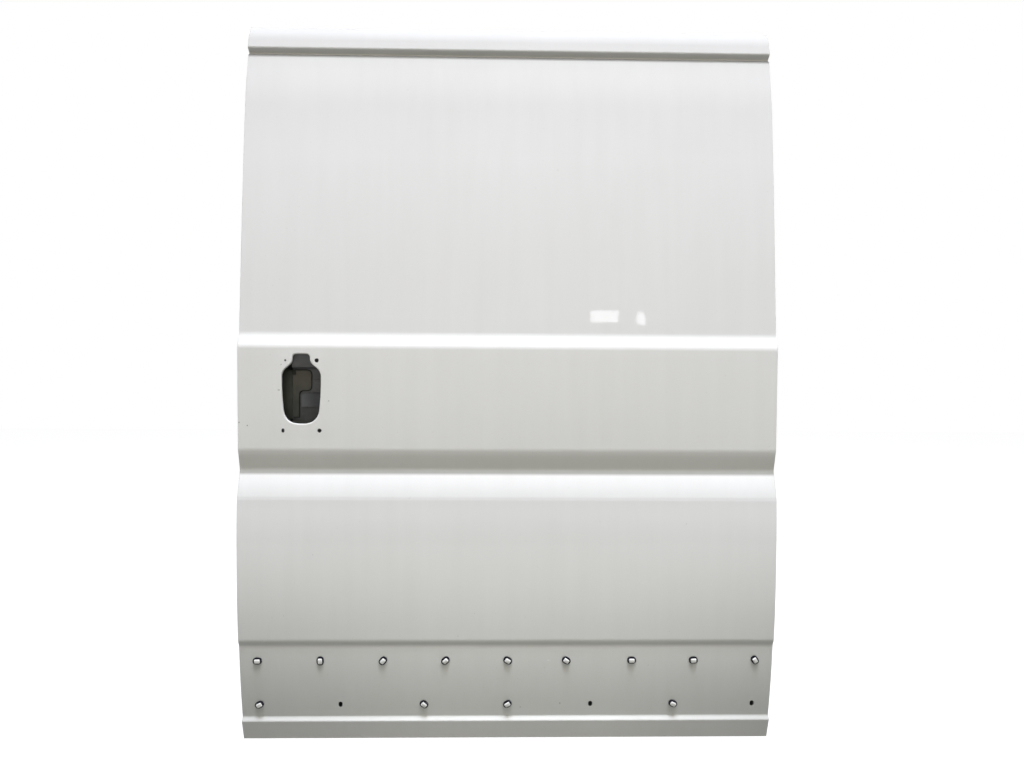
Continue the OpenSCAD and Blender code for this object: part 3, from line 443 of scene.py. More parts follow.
def make_skin():
    """The outer sheet: a grid on its section, with patches round its holes and a folded hem."""
    mesh = Mesh()
    patches = hole_patches()
    columns, rows = grid_lines()
    columns = snapped(columns, [v for rect, _ in patches for v in rect[:2]], COLUMN_GAP)
    rows = snapped(rows, sorted({v for rect, _ in patches for v in rect[2:]}), ROW_GAP)

    sheets = []
    for depth in (0.0, SHEET):
        grid = {}
        for i, x in enumerate(columns):
            for j, z in enumerate(rows):
                y, n = surface(x, z)
                grid[i, j] = mesh.add(x, y + depth, z, n if depth == 0 else -n)
        sheets.append(grid)

    def in_patch(x, z):
        return any(x0 < x < x1 and z0 < z < z1 for (x0, x1, z0, z1), _ in patches)

    for i in range(len(columns) - 1):
        for j in range(len(rows) - 1):
            if in_patch((columns[i] + columns[i + 1]) / 2, (rows[j] + rows[j + 1]) / 2):
                continue
            for slot, grid in ((PAINTED, sheets[0]), (PRIMED, sheets[1])):
                quad = [grid[i, j], grid[i + 1, j], grid[i + 1, j + 1], grid[i, j + 1]]
                mesh.slot = slot
                mesh.face(*(reversed(quad) if slot == PRIMED else quad))
    mesh.slot = PAINTED
    for rect, holes in patches:
        fill_patch(mesh, rect, holes, columns, rows, sheets)
    fold_hem(mesh, columns, rows, sheets)
    return mesh


def fold_hem(mesh, columns, rows, sheets):
    """Joins the outer face to the inner one round the door's edge, by way of the hem."""
    last_i, last_j = len(columns) - 1, len(rows) - 1
    loop = (
        [(i, 0) for i in range(last_i)]
        + [(last_i, j) for j in range(last_j)]
        + [(i, last_j) for i in range(last_i, 0, -1)]
        + [(0, j) for j in range(last_j, 0, -1)]
    )
    before = [sheets[0][key] for key in loop]
    for s, depth, a, b in hem_rim()[1:-1]:
        now = []
        for i, j in loop:
            x = min(max(columns[i], s - EDGE_X), EDGE_X - s)
            z = min(max(rows[j], s), HEIGHT - s)
            inward = Vector((0, 0, 0))
            if i in (0, last_i):
                x = (s - EDGE_X) if i == 0 else (EDGE_X - s)
                inward.x = 1 if i == 0 else -1
            if j in (0, last_j):
                z = s if j == 0 else HEIGHT - s
            y, n = surface(x, z)
            if j in (0, last_j):
                along = Vector((0, -n.z / n.y, 1)).normalized()
                inward += along if j == 0 else -along
            now.append(mesh.add(x, y + depth, z, n * a - inward.normalized() * b))
        mesh.strip(now, before)
        before = now
    mesh.strip([sheets[1][key] for key in loop], before)


def fill_patch(mesh, rect, holes, columns, rows, sheets):
    """Fills a gap in both sheets round its holes, and gives each hole its rim."""
    x0, x1, z0, z1 = rect
    across = [i for i, x in enumerate(columns) if x0 - TINY <= x <= x1 + TINY]
    up = [j for j, z in enumerate(rows) if z0 - TINY <= z <= z1 + TINY]
    border = (
        [(i, up[0]) for i in across[:-1]]
        + [(across[-1], j) for j in up[:-1]]
        + [(i, up[-1]) for i in across[:0:-1]]
        + [(across[0], j) for j in up[:0:-1]]
    )
    flat = [(columns[i], rows[j]) for i, j in border]
    edges = [(k, (k + 1) % len(border)) for k in range(len(border))]
    index = [[sheets[0][key] for key in border], [sheets[1][key] for key in border]]
    loops = []
    for line, profile in holes:
        r = profile[0][0]
        outer = [(x + r * nx, z + r * nz) for x, z, nx, nz in line]
        loops.append(outer)
        start = len(flat)
        flat += outer
        edges += [(start + k, start + (k + 1) % len(outer)) for k in range(len(outer))]
        rings = []
        for s, depth, a, b in profile:
            now = []
            for x, z, nx, nz in line:
                px, pz = x + s * nx, z + s * nz
                y, n = surface(px, pz)
                away = Vector((nx, 0, nz))
                away = (away - n * away.dot(n)).normalized()
                now.append(mesh.add(px, y + depth, pz, n * a - away * b))
            rings.append(now)
        outwards = anticlockwise(line)
        for k, (p, q) in enumerate(zip(rings, rings[1:])):
            mesh.slot = PRIMED if profile is PIERCED_RIM and k > 0 else PAINTED
            mesh.strip(*((p, q) if outwards else (q, p)))
        mesh.slot = PAINTED
        index[0] += rings[0]
        index[1] += rings[-1]
    nx, nz = int((x1 - x0) / PATCH_STEP), int((z1 - z0) / PATCH_STEP)
    for i in range(1, nx):
        for j in range(1, nz):
            x = lerp(x0, x1, (i + (0.5 if j % 2 else 0)) / (nx + 0.5))
            z = lerp(z0, z1, j / nz)
            if any(
                inside(lp, x, z) or min(math.dist((x, z), p) for p in lp) < PATCH_GAP * PATCH_STEP
                for lp in loops
            ):
                continue
            flat.append((x, z))
            y, n = surface(x, z)
            index[0].append(mesh.add(x, y, z, n))
            index[1].append(mesh.add(x, y + SHEET, z, -n))
    verts, _, tris, origin, _, _ = geometry.delaunay_2d_cdt(
        [Vector(p) for p in flat], edges, [], 0, TINY, True
    )
    for tri in tris:
        centre = sum((verts[k] for k in tri), Vector((0, 0))) / len(tri)
        if any(inside(lp, centre.x, centre.y) for lp in loops):
            continue
        a, b, c = (verts[k] for k in tri)
        turn = (b - a).cross(c - a) < 0
        ids = [origin[k][0] for k in tri]
        front = [index[0][k] for k in ids]
        back = [index[1][k] for k in ids]
        mesh.slot = PAINTED
        mesh.face(*(reversed(front) if turn else front))
        mesh.slot = PRIMED
        mesh.face(*(back if turn else reversed(back)))
    mesh.slot = PAINTED


# Small turned and moulded pieces, built from rings of points that stand on the skin


def place_on_skin(x, z, turn):
    """Matrix of a place on the band: +Z out of the skin, turned about it by turn degrees."""
    y, n = surface(x, z)
    side = Vector((1, 0, 0))
    up = n.cross(side).normalized()
    axes = Matrix((side, up, n)).transposed().to_4x4()
    return Matrix.Translation(at(x, y, z)) @ axes @ Matrix.Rotation(math.radians(turn), 4, "Z")


def level(half_w, half_h, height, power=2.0, n=32):
    """A ring of points, from round at power 2 to nearly square at high powers."""
    out = []
    for k in range(n):
        a = 2 * math.pi * (k + 0.5) / n
        c, s = math.cos(a), math.sin(a)
        x = math.copysign(half_w * abs(c) ** (2 / power), c)
        y = math.copysign(half_h * abs(s) ** (2 / power), s)
        out.append(Vector((x, y, height)) * MM)
    return out


def loft(parts, name, closed=False, sharp=50):
    """Skins stacks of rings, each with its matrix. A closed stack joins its last ring to its
    first, and an open one is capped at both ends."""
    verts, faces = [], []
    for place, rings in parts:
        start, n = len(verts), len(rings[0])
        for points in rings:
            verts += [place @ p for p in points]
        m = len(rings)
        for i in range(m if closed else m - 1):
            a, b = start + i * n, start + (i + 1) % m * n
            faces += [[a + k, a + (k + 1) % n, b + (k + 1) % n, b + k] for k in range(n)]
        if not closed:
            faces.append([start + k for k in reversed(range(n))])
            faces.append([start + (m - 1) * n + k for k in range(n)])
    me = bpy.data.meshes.new(name)
    me.from_pydata(verts, [], faces)
    me.polygons.foreach_set("use_smooth", [True] * len(me.polygons))
    me.set_sharp_from_angle(angle=math.radians(sharp))
    me.update()
    obj = bpy.data.objects.new(name, me)
    bpy.context.scene.collection.objects.link(obj)
    return obj


# Clips and their seals: half widths, half heights and radii across, and heights above the skin
SEAL_W, SEAL_H, SEAL_TOP, SEAL_FOOT = 11.3, 9.0, 4.9, 0.1
SEAL_BORE_R, SEAL_BORE_FOOT, SEAL_BORE_DROP, SEAL_MOUTH_R = 4.2, 0.3, 0.4, 4.8
SEAL_POWER = 2.5
HEAD_W, HEAD_H, HEAD_TOP, HEAD_GAP = 7.2, 5.4, 3.8, 0.05
SHANK_R, SHANK_FOOT, TIP_R, TIP_Z = 3.9, -1.2, 1.2, -9.0
BARB_FOOT_R, BARB_NECK_R, BARB_H = 2.5, 3.0, 2.2
BARB_EDGE_W, BARB_EDGE_H = 0.2, 0.5
# Barbs on the shank, as [height of the top, radius]
BARBS = [(-6.4, 3.5), (-3.9, 4.4), (-1.5, 5.1)]
# The head's pillow shape, as [share of its width, share of its height, power of its ring]
HEAD_LEVELS = [
    (0.93, 0.0, 4.5),
    (1.0, 0.07, 5.0),
    (1.0, 0.32, 5.0),
    (0.97, 0.52, 4.8),
    (0.90, 0.72, 4.4),
    (0.76, 0.88, 3.8),
    (0.52, 0.97, 3.2),
    (0.22, 0.995, 2.4),
    (0.02, 1.0, 2.0),
]
# The seal's outer side, as [share of its width, height]
SEAL_LEVELS = [
    (0.86, SEAL_TOP),
    (0.95, SEAL_TOP - 0.3),
    (1.0, SEAL_TOP - 0.9),
    (1.0, 0.8),
    (0.98, SEAL_FOOT),
]


def disc(r, height):
    """A round ring of points."""
    return level(r, r, height)


def clip_rings():
    """A clip from its barbed tip, behind the skin, to its pillow-shaped head."""
    rings = [disc(TIP_R, TIP_Z)]
    for top, r in BARBS:
        rings += [disc(BARB_FOOT_R, top - BARB_H), disc(r - BARB_EDGE_W, top - BARB_EDGE_H)]
        rings += [disc(r, top), disc(BARB_NECK_R, top)]
    rings += [disc(SHANK_R, SHANK_FOOT), disc(SHANK_R, SEAL_TOP)]
    for share, rise, power in HEAD_LEVELS:
        height = SEAL_TOP + HEAD_GAP + rise * HEAD_TOP
        rings.append(level(HEAD_W * share, HEAD_H * share, height, power))
    return rings


def seal_rings():
    """Section of a foam seal: a soft-edged flat ring round the shank."""
    rings = [disc(SEAL_BORE_R, SEAL_BORE_FOOT), disc(SEAL_BORE_R, SEAL_TOP - SEAL_BORE_DROP)]
    rings.append(disc(SEAL_MOUTH_R, SEAL_TOP))
    for share, height in SEAL_LEVELS:
        rings.append(level(SEAL_W * share, SEAL_H * share, height, SEAL_POWER))
    rings.append(disc(SEAL_MOUTH_R, SEAL_FOOT))
    return rings


def clip_places():
    """Matrices of the clips' places, by row."""
    upper = []
    for i, turn in enumerate(UP_TURNS):
        x = -EDGE_X + CLIP_INSET + i * CLIP_PITCH - (CLIP_SHIFT if i == SHIFTED_CLIP else 0)
        upper.append(place_on_skin(x, CLIP_UP_Z + CLIP_RISE, turn))
    lower = [place_on_skin(x, CLIP_LOW_Z + CLIP_RISE, turn) for x, turn in LOW_CLIPS]
    return {"upper": upper, "lower": lower}


def make_clips():
    """The clips, each a piece of its own, and the seals of each row."""
    for row, places in clip_places().items():
        for k, place in enumerate(places):
            clip = loft([(place, clip_rings())], f"clip_{row}_{k + 1}")
            clip.data.materials.append(NYLON)
            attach(clip, "root")
            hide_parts(f"moulding_clip_{row}_{k + 1}")
        seals = [(place, seal_rings()) for place in places]
        ring_piece = loft(seals, f"seals_{row}", closed=True, sharp=70)
        ring_piece.data.materials.append(SEAL)
        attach(ring_piece, "root")
        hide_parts(f"clip_seals_{row}")


def pressed_plate(name, corners, front, back, edge):
    """A plate with rounded corners and a broken front edge, from corners [x, z, blend]."""
    line = with_normals(rounded(corners, step=12, curve=4))
    rings = []
    for inset, y in ((0, back), (0, front + edge), (0.3 * edge, front + 0.3 * edge), (edge, front)):
        rings.append([at(x - inset * nx, y, z - inset * nz) for x, z, nx, nz in line])
    return loft([(Matrix(), rings)], name)


# Bead of sealer: half its width and height, its distance from the hem and from the two sheets,
# and the slow and fast waves of its thickness along the door
BEAD_HALF_W, BEAD_HALF_H, BEAD_INSET, BEAD_CLEAR = 2.3, 1.5, 1.2, 0.3
BEAD_COLUMNS, BEAD_POINTS, CORNER_GAP = 40, 10, 3.0
SLOW_WAVE, SLOW_RATE, SLOW_SLANT = 0.12, 0.05, 1.7
FAST_WAVE, FAST_RATE = 0.07, 0.21


def make_sealer():
    """A hand-laid bead of sealer along the hem, on the door's inner side."""
    inset = HEM_W + BEAD_INSET
    side, top = EDGE_X - inset, HEIGHT - inset
    xs = [lerp(-side, side, k / BEAD_COLUMNS) for k in range(BEAD_COLUMNS + 1)]
    between = [z for z, _, _ in SECTION if inset + CORNER_GAP < z < top - CORNER_GAP]
    zs = [inset] + between + [top]
    path = [(x, inset) for x in xs[:-1]] + [(side, z) for z in zs[:-1]]
    path += [(x, top) for x in reversed(xs[1:])] + [(-side, z) for z in reversed(zs[1:])]
    rings = []
    for i, (x, z) in enumerate(path):
        a, b = path[i - 1], path[(i + 1) % len(path)]
        y, n = surface(x, z)
        middle = Vector((x, y + 2 * SHEET + BEAD_CLEAR, z))
        along = Vector((b[0] - a[0], 0, b[1] - a[1])).normalized()
        across = n.cross(along).normalized()
        slow = SLOW_WAVE * math.sin(SLOW_RATE * (x + SLOW_SLANT * z))
        thick = 1 + slow + FAST_WAVE * math.sin(FAST_RATE * (x - z))
        points = []
        for k in range(BEAD_POINTS):
            t = 2 * math.pi * k / BEAD_POINTS
            p = across * BEAD_HALF_W * math.cos(t) - n * BEAD_HALF_H * math.sin(t)
            points.append(at(*(middle + p * thick)))
        rings.append(points)
    bead = loft([(Matrix(), rings)], "hem_sealer", closed=True, sharp=80)
    bead.data.materials.append(SEALER)
    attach(bead, "root")


# Pieces on the bracket behind the cut-out. A black ring of painted shade reaches past the lock pad
# round its edges, and a dark block lies on the pad's upper corner. T is from a piece's front to what
# it lies on.
REST_GAP = 0.05
SHADE_RING_FOOT, SHADE_RING_SIDE, SHADE_RING_TOP = 2.0, 1.6, 2.2
SHADE_RING_STEM_W, SHADE_RING_FORK_H, SHADE_RING_T, SHADE_RING_EDGE = 17.2, 54.4, 1.4, 0.3
BLOCK_LEFT, BLOCK_RIGHT, BLOCK_H, BLOCK_T, BLOCK_EDGE = 2.0, 7.0, 13.0, 1.5, 0.5
STRIP_LEFT, STRIP_RIGHT, STRIP_Z0, STRIP_Z1 = 21.5, 52.5, 890.5, 929.5
STRIP_T, STRIP_EDGE = 2.4, 0.9
WING_W, WING_BEHIND, WING_EDGE = 39.0, 8.0, 0.4
WING_FOOT, WING_TOP = 8.0, 40.0


def make_pad_shade_ring():
    """A thin black ring of painted shade round the lock pad, and a dark block at its upper corner."""
    (left, front, foot), (right, back, head) = door_box("lock_pad")
    floor = back + SHEET_GAP
    x0, x1 = left, right + SHADE_RING_SIDE
    z0, z1 = foot - SHADE_RING_FOOT, head + SHADE_RING_TOP
    stem, fork = x0 + SHADE_RING_STEM_W, z1 - SHADE_RING_FORK_H
    outline = [
        (x0, z0, 2),
        (x0, z1, 3),
        (x1, z1, 13),
        (x1, fork, 13),
        (stem, fork, 12),
        (stem, z0, 2),
    ]
    # A black ring of painted shade round the pad
    shade_ring = pressed_plate("pad_shade_ring", outline, floor - SHADE_RING_T, floor - REST_GAP, SHADE_RING_EDGE)
    x0, x1, z0 = left - BLOCK_LEFT, left + BLOCK_RIGHT, z1 - BLOCK_H
    outline = [(x0, z0, 1), (x1, z0, 2), (x1, z1, 1), (x0, z1, 1)]
    stop = pressed_plate("dark_corner_block", outline, front - BLOCK_T, front - REST_GAP, BLOCK_EDGE)
    for piece in (shade_ring, stop):
        piece.data.materials.append(MATT_BLACK)
        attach(piece, "root")


def make_bracket_strip():
    """The step beside the lock pad, on the bracket's floor."""
    floor = door_box("lock_pad")[1][1] + SHEET_GAP
    x0, x1 = HANDLE_X + STRIP_LEFT, HANDLE_X + STRIP_RIGHT
    outline = [(x0, STRIP_Z0, 3), (x1, STRIP_Z0, 1), (x1, STRIP_Z1, 1), (x0, STRIP_Z1, 4)]
    strip = pressed_plate("bracket_strip", outline, floor - STRIP_T, floor - REST_GAP, STRIP_EDGE)
    strip.data.materials.append(BRACKET)
    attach(strip, "root")


def make_bracket_wing():
    """The bracket's wing in front of its open end, welded along the lip there."""
    (left, _, _), (_, back, _) = door_box("handle_bracket")
    rear = back + WING_BEHIND - SHEET_GAP
    x1 = left - REST_GAP
    x0, z0, z1 = x1 - WING_W, HANDLE_Z0 + WING_FOOT, HANDLE_Z1 - WING_TOP
    outline = [(x0, z0, 8), (x1, z0, 1), (x1, z1, 1), (x0, z1, 8)]
    wing = pressed_plate("bracket_wing", outline, rear - SHEET, rear, WING_EDGE)
    wing.data.materials.append(WING)
    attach(wing, "root")


# Materials. Scales of noise are per metre, and depths of bumps in metres.

# Noise seldom leaves this range
NOISE_LO, NOISE_HI = 0.3, 0.7


def node_tree(name):
    mat = bpy.data.materials.new(name)
    mat.use_nodes = True
    tree = mat.node_tree
    return mat, tree, tree.nodes["Principled BSDF"]


def noise(tree, scale, detail, stretch=(1, 1, 1)):
    """Noise in object coordinates."""
    coords = tree.nodes.new("ShaderNodeTexCoord")
    mapping = tree.nodes.new("ShaderNodeMapping")
    mapping.inputs["Scale"].default_value = stretch
    tree.links.new(coords.outputs["Object"], mapping.inputs["Vector"])
    tex = tree.nodes.new("ShaderNodeTexNoise")
    tex.inputs["Scale"].default_value = scale
    tex.inputs["Detail"].default_value = detail
    tree.links.new(mapping.outputs["Vector"], tex.inputs["Vector"])
    return tex.outputs["Fac"]


def spread(tree, value, lo, hi, to_lo, to_hi):
    node = tree.nodes.new("ShaderNodeMapRange")
    node.inputs["From Min"].default_value = lo
    node.inputs["From Max"].default_value = hi
    node.inputs["To Min"].default_value = to_lo
    node.inputs["To Max"].default_value = to_hi
    tree.links.new(value, node.inputs["Value"])
    return node.outputs["Result"]


def clouds(tree, scale, detail, lo, hi, stretch=(1, 1, 1)):
    """Noise that is spread to run from lo to hi."""
    return spread(tree, noise(tree, scale, detail, stretch), NOISE_LO, NOISE_HI, lo, hi)


def math_node(tree, kind, a, b):
    node = tree.nodes.new("ShaderNodeMath")
    node.operation = kind
    for socket, value in zip(node.inputs, (a, b)):
        if isinstance(value, (int, float)):
            socket.default_value = value
        else:
            tree.links.new(value, socket)
    return node.outputs[0]


def blend(tree, factor, a, b, kind="MIX"):
    """Mixes two colours. Each of them is a socket or [red, green, blue]."""
    node = tree.nodes.new("ShaderNodeMix")
    node.data_type = "RGBA"
    node.blend_type = kind
    for key, value in (("Factor", factor), ("A", a), ("B", b)):
        if isinstance(value, tuple):
            node.inputs[key].default_value = (*value, 1)
        elif isinstance(value, (int, float)):
            node.inputs[key].default_value = value
        else:
            tree.links.new(value, node.inputs[key])
    return node.outputs["Result"]


def bump(tree, shader, height, distance):
    node = tree.nodes.new("ShaderNodeBump")
    node.inputs["Distance"].default_value = distance
    tree.links.new(height, node.inputs["Height"])
    tree.links.new(node.outputs["Normal"], shader.inputs["Normal"])


def ramp(tree, axis, lo, hi):
    """0 to 1 along an axis of the object's own coordinates, given in the door frame in mm."""
    coords = tree.nodes.new("ShaderNodeTexCoord")
    split = tree.nodes.new("ShaderNodeSeparateXYZ")
    tree.links.new(coords.outputs["Object"], split.inputs[0])
    k = "XYZ".index(axis)
    return spread(tree, split.outputs[k], lo * MM - ORIGIN[k], hi * MM - ORIGIN[k], 0, 1)


# Colour of the paint up the door, as [height, colour]: painted light and shade, with painted shade low
# on the band, in the valley under the step, on the chamfer, in the gutter and near the top, and
# painted highlights on the step's edge and the top of the cove
PAINTED_LIGHT_UP_DOOR = [
    (0, (0.85, 0.85, 0.83)),
    (57, (0.85, 0.855, 0.845)),
    (62, (0.72, 0.73, 0.705)),
    (165, (0.79, 0.80, 0.775)),
    (238, (0.855, 0.86, 0.84)),
    (255, (0.95, 0.95, 0.94)),
    (259, (0.70, 0.705, 0.685)),
    (268, (0.75, 0.755, 0.735)),
    (277, (0.85, 0.855, 0.84)),
    (460, (0.885, 0.885, 0.875)),
    (510, (0.89, 0.89, 0.885)),
    (563, (0.84, 0.84, 0.835)),
    (640, (0.80, 0.80, 0.80)),
    (676, (0.85, 0.85, 0.85)),
    (687.5, (0.92, 0.92, 0.92)),
    (693, (0.47, 0.47, 0.46)),
    (700, (0.64, 0.64, 0.61)),
    (735, (0.70, 0.70, 0.675)),
    (749, (0.875, 0.875, 0.86)),
    (757, (0.80, 0.80, 0.785)),
    (878, (0.84, 0.84, 0.825)),
    (1013, (0.86, 0.86, 0.853)),
    (1050, (0.775, 0.775, 0.77)),
    (1090, (0.79, 0.79, 0.785)),
    (1500, (0.80, 0.80, 0.80)),
    (1690, (0.73, 0.73, 0.73)),
    (1764, (0.68, 0.68, 0.675)),
    (1767, (0.14, 0.14, 0.13)),
    (1772, (0.14, 0.14, 0.13)),
    (1777, (0.78, 0.78, 0.76)),
    (1788, (0.645, 0.645, 0.64)),
    (1850, (0.62, 0.62, 0.62)),
]


# Small marks in the paint, as [x, z, half width, half height, colour]
MARKS = [
    (104.0, 215.1, 4.2, 1.3, (0.93, 0.93, 0.92)),
    (-655.7, 813.2, 1.5, 1.5, (0.20, 0.18, 0.16)),
    (-676.0, 820.9, 1.3, 1.6, (0.25, 0.23, 0.21)),
    (-452.4, 875.7, 1.4, 1.2, (0.25, 0.23, 0.21)),
    (-570.8, 966.5, 1.2, 1.2, (0.34, 0.32, 0.30)),
    (-576.8, 902.6, 3.5, 2.4, (0.62, 0.61, 0.58)),
    (135.5, 97.3, 1.6, 1.6, (0.33, 0.32, 0.30)),
    (33.4, 86.7, 1.5, 1.2, (0.36, 0.35, 0.33)),
]

# A mark is whole up to the first share of its size, and fades out by the second
MARK_CORE, MARK_RIM = 0.7, 1.15


def marked(tree, colour):
    """A colour with the small marks laid over it."""
    coords = tree.nodes.new("ShaderNodeTexCoord")
    for x, z, half_w, half_h, mark in MARKS:
        vector = coords.outputs["Object"]
        for kind, amount in (
            ("SUBTRACT", at(x, 0, z)),
            ("MULTIPLY", (1 / (half_w * MM), 0, 1 / (half_h * MM))),
            ("LENGTH", None),
        ):
            node = tree.nodes.new("ShaderNodeVectorMath")
            node.operation = kind
            tree.links.new(vector, node.inputs[0])
            if amount:
                node.inputs[1].default_value = amount
            vector = node.outputs[0]
        inside_mark = spread(tree, node.outputs["Value"], MARK_CORE, MARK_RIM, 1, 0)
        colour = blend(tree, inside_mark, colour, mark)
    return colour


def painted_light_colour(tree):
    """The paint's colour up the door, with its painted light and shade, from the table of heights and
    colours.
    """
    node = tree.nodes.new("ShaderNodeValToRGB")
    stops = node.color_ramp.elements
    stops.remove(stops[0])
    for k, (z, colour) in enumerate(PAINTED_LIGHT_UP_DOOR):
        stop = stops[0] if k == 0 else stops.new(1)
        stop.position = z / HEIGHT
        stop.color = (*colour, 1)
    tree.links.new(ramp(tree, "Z", 0, HEIGHT), node.inputs["Fac"])
    return node.outputs["Color"]


# Upright streaks of painted reflection and smudges, with their shares in the shade and the darkest
# that they make it
REFLECTION_STRETCH, REFLECTION_STREAKS, SMUDGES = (34, 34, 1.3), 0.45, 0.55
SHADE_DARK = (0.955, 0.955, 0.95)
# Painted shade low down on the door's two ends, from where it starts to where it is full, and the
# share of the paint's colour that it leaves
END_SHADE_X = [(260, EDGE_X + 40), (-200, -EDGE_X)]
END_SHADE_TOP, END_SHADE_FULL, END_SHADE_SHARE = 560, 20, 0.74
# Specks of dirt show where fine noise passes this range, and let a share of the paint through
SPECK_LO, SPECK_HI, SPECK_SHARE = 0.755, 0.80, 0.55
SPECK = (0.16, 0.14, 0.12)


def painted_end_shade(tree):
    """What the painted shade leaves of the paint's colour: least low down on the door's two ends."""
    ends = [ramp(tree, "X", start, full) for start, full in END_SHADE_X]
    low = ramp(tree, "Z", END_SHADE_TOP, END_SHADE_FULL)
    amount = math_node(tree, "MULTIPLY", math_node(tree, "MAXIMUM", *ends), low)
    return spread(tree, amount, 0, 1, 1, END_SHADE_SHARE)


def skin_paint():
    """White coach paint: painted light and shade up the door and painted shade low on its ends, faint
    upright streaks of painted reflection and smudges, specks of dirt, small marks, a fine orange peel.
    """
    mat, tree, shader = node_tree("skin_paint")
    # Upright streaks: a painted reflection of the room
    streaks = clouds(tree, 1.0, 4, 0, REFLECTION_STREAKS, REFLECTION_STRETCH)
    smudges = clouds(tree, 3.2, 4, 0, SMUDGES)
    shade = blend(tree, math_node(tree, "ADD", streaks, smudges), SHADE_DARK, (1, 1, 1))
    # Painted shade low down on the door's two ends
    shade = blend(tree, painted_end_shade(tree), (0, 0, 0), shade)
    specks = spread(tree, noise(tree, 240, 2), SPECK_LO, SPECK_HI, 1, SPECK_SHARE)
    # Painted light and shade up the door, times the streaks, smudges and painted shade on the ends
    colour = blend(tree, 1, painted_light_colour(tree), shade, "MULTIPLY")
    colour = blend(tree, specks, SPECK, colour)
    tree.links.new(marked(tree, colour), shader.inputs["Base Color"])
    tree.links.new(clouds(tree, 7, 5, 0.42, 0.54), shader.inputs["Roughness"])
    shader.inputs["Coat Weight"].default_value = 0.35
    shader.inputs["Coat Roughness"].default_value = 0.02
    bump(tree, shader, noise(tree, 420, 2), 0.000008)
    return mat


def plain(name, dark, light, rough, scale, grain=900, depth=0.00005, coat=0.0):
    """A finish mottled between two colours, rough between two values, with a fine grain."""
    mat, tree, shader = node_tree(name)
    mottle = clouds(tree, scale, 5, 0, 1)
    tree.links.new(blend(tree, mottle, dark, light), shader.inputs["Base Color"])
    tree.links.new(clouds(tree, 1.7 * scale, 4, *rough), shader.inputs["Roughness"])
    shader.inputs["Coat Weight"].default_value = coat
    bump(tree, shader, noise(tree, grain, 3), depth)
    return mat


MOTTLE, ROUGH_SPREAD = 0.12, 0.06


def shade_faded(name, axis, lo, hi, dark, light, rough=0.55):
    """A finish with painted shade, from dark at lo to light at hi along one axis, with a fine mottle.
    """
    mat, tree, shader = node_tree(name)
    mottle = clouds(tree, 55, 5, -MOTTLE, MOTTLE)
    along = math_node(tree, "ADD", ramp(tree, axis, lo, hi), mottle)
    tree.links.new(blend(tree, along, dark, light), shader.inputs["Base Color"])
    patches = clouds(tree, 70, 4, rough - ROUGH_SPREAD, rough + ROUGH_SPREAD)
    tree.links.new(patches, shader.inputs["Roughness"])
    bump(tree, shader, noise(tree, 700, 3), 0.00005)
    return mat


def two_sided(name, outer, cavity):
    """White paint on faces that point into the load space, and in the cavity a dark colour that is
    partly dipped primer and partly painted shade.
    """
    mat, tree, shader = node_tree(name)
    coords = tree.nodes.new("ShaderNodeTexCoord")
    split = tree.nodes.new("ShaderNodeSeparateXYZ")
    tree.links.new(coords.outputs["Normal"], split.inputs[0])
    side = spread(tree, split.outputs["Y"], -0.5, -0.1, 0, 1)
    shade = math_node(tree, "MULTIPLY", side, clouds(tree, 5, 5, 0.94, 1))
    tree.links.new(blend(tree, shade, cavity, outer), shader.inputs["Base Color"])
    tree.links.new(clouds(tree, 9, 5, 0.42, 0.56), shader.inputs["Roughness"])
    shader.inputs["Coat Weight"].default_value = 0.15
    bump(tree, shader, noise(tree, 380, 3), 0.00004)
    return mat


PAINT = skin_paint()
# The cavity's dark colour is partly primer and partly painted shade
INNER = two_sided("inner_paint", (0.76, 0.76, 0.75), (0.11, 0.112, 0.105))

# Plain finishes, from a dark to a light colour
SKIN_INNER = plain(
    "skin_inner", (0.07, 0.072, 0.07), (0.10, 0.102, 0.10), (0.5, 0.65), scale=8, grain=500
)
BEAM = plain(
    "beam_steel", (0.035, 0.036, 0.038), (0.06, 0.06, 0.062), (0.35, 0.5), scale=20, coat=0.2
)
REINF = plain("reinforcement", (0.10, 0.105, 0.11), (0.15, 0.155, 0.16), (0.42, 0.56), scale=18)
MASTIC = plain(
    "mastic", (0.03, 0.03, 0.031), (0.055, 0.055, 0.054), (0.6, 0.8), scale=60, grain=260, depth=0.0004
)
SEAL = plain(
    "clip_seal",
    (0.006, 0.006, 0.011),
    (0.012, 0.012, 0.02),
    (0.8, 0.95),
    scale=200,
    grain=1500,
    depth=0.00015,
)
SEALER = plain("sealer", (0.66, 0.66, 0.63), (0.76, 0.76, 0.74), (0.5, 0.65), scale=40, grain=300)
# Matt black, for the ring of painted shade round the lock pad and the dark block on its corner
MATT_BLACK = plain(
    "matt_black", (0.006, 0.006, 0.004), (0.012, 0.012, 0.008), (0.8, 0.95), scale=200, grain=1500
)
NYLON = plain("clip_nylon", (0.84, 0.84, 0.82), (0.9, 0.9, 0.88), (0.32, 0.42), scale=90)

# Finishes behind the cut-out, with painted shade that darkens them towards its foot or, on the lever
# plate, its right side
BRACKET = shade_faded("bracket_primer_shaded", "Z", 836, 958, (0.0145, 0.0147, 0.0118), (0.096, 0.096, 0.099))
WING = shade_faded("wing_primer_shaded", "Z", 822, 958, (0.0265, 0.028, 0.022), (0.078, 0.082, 0.067))
PAD = shade_faded("lock_pad_shaded", "Z", 868, 932, (0.0115, 0.012, 0.008), (0.053, 0.049, 0.0355), 0.62)
LEVER = shade_faded("lever_shaded", "X", -492, -525, (0.0115, 0.0118, 0.0125), (0.055, 0.056, 0.057), 0.5)


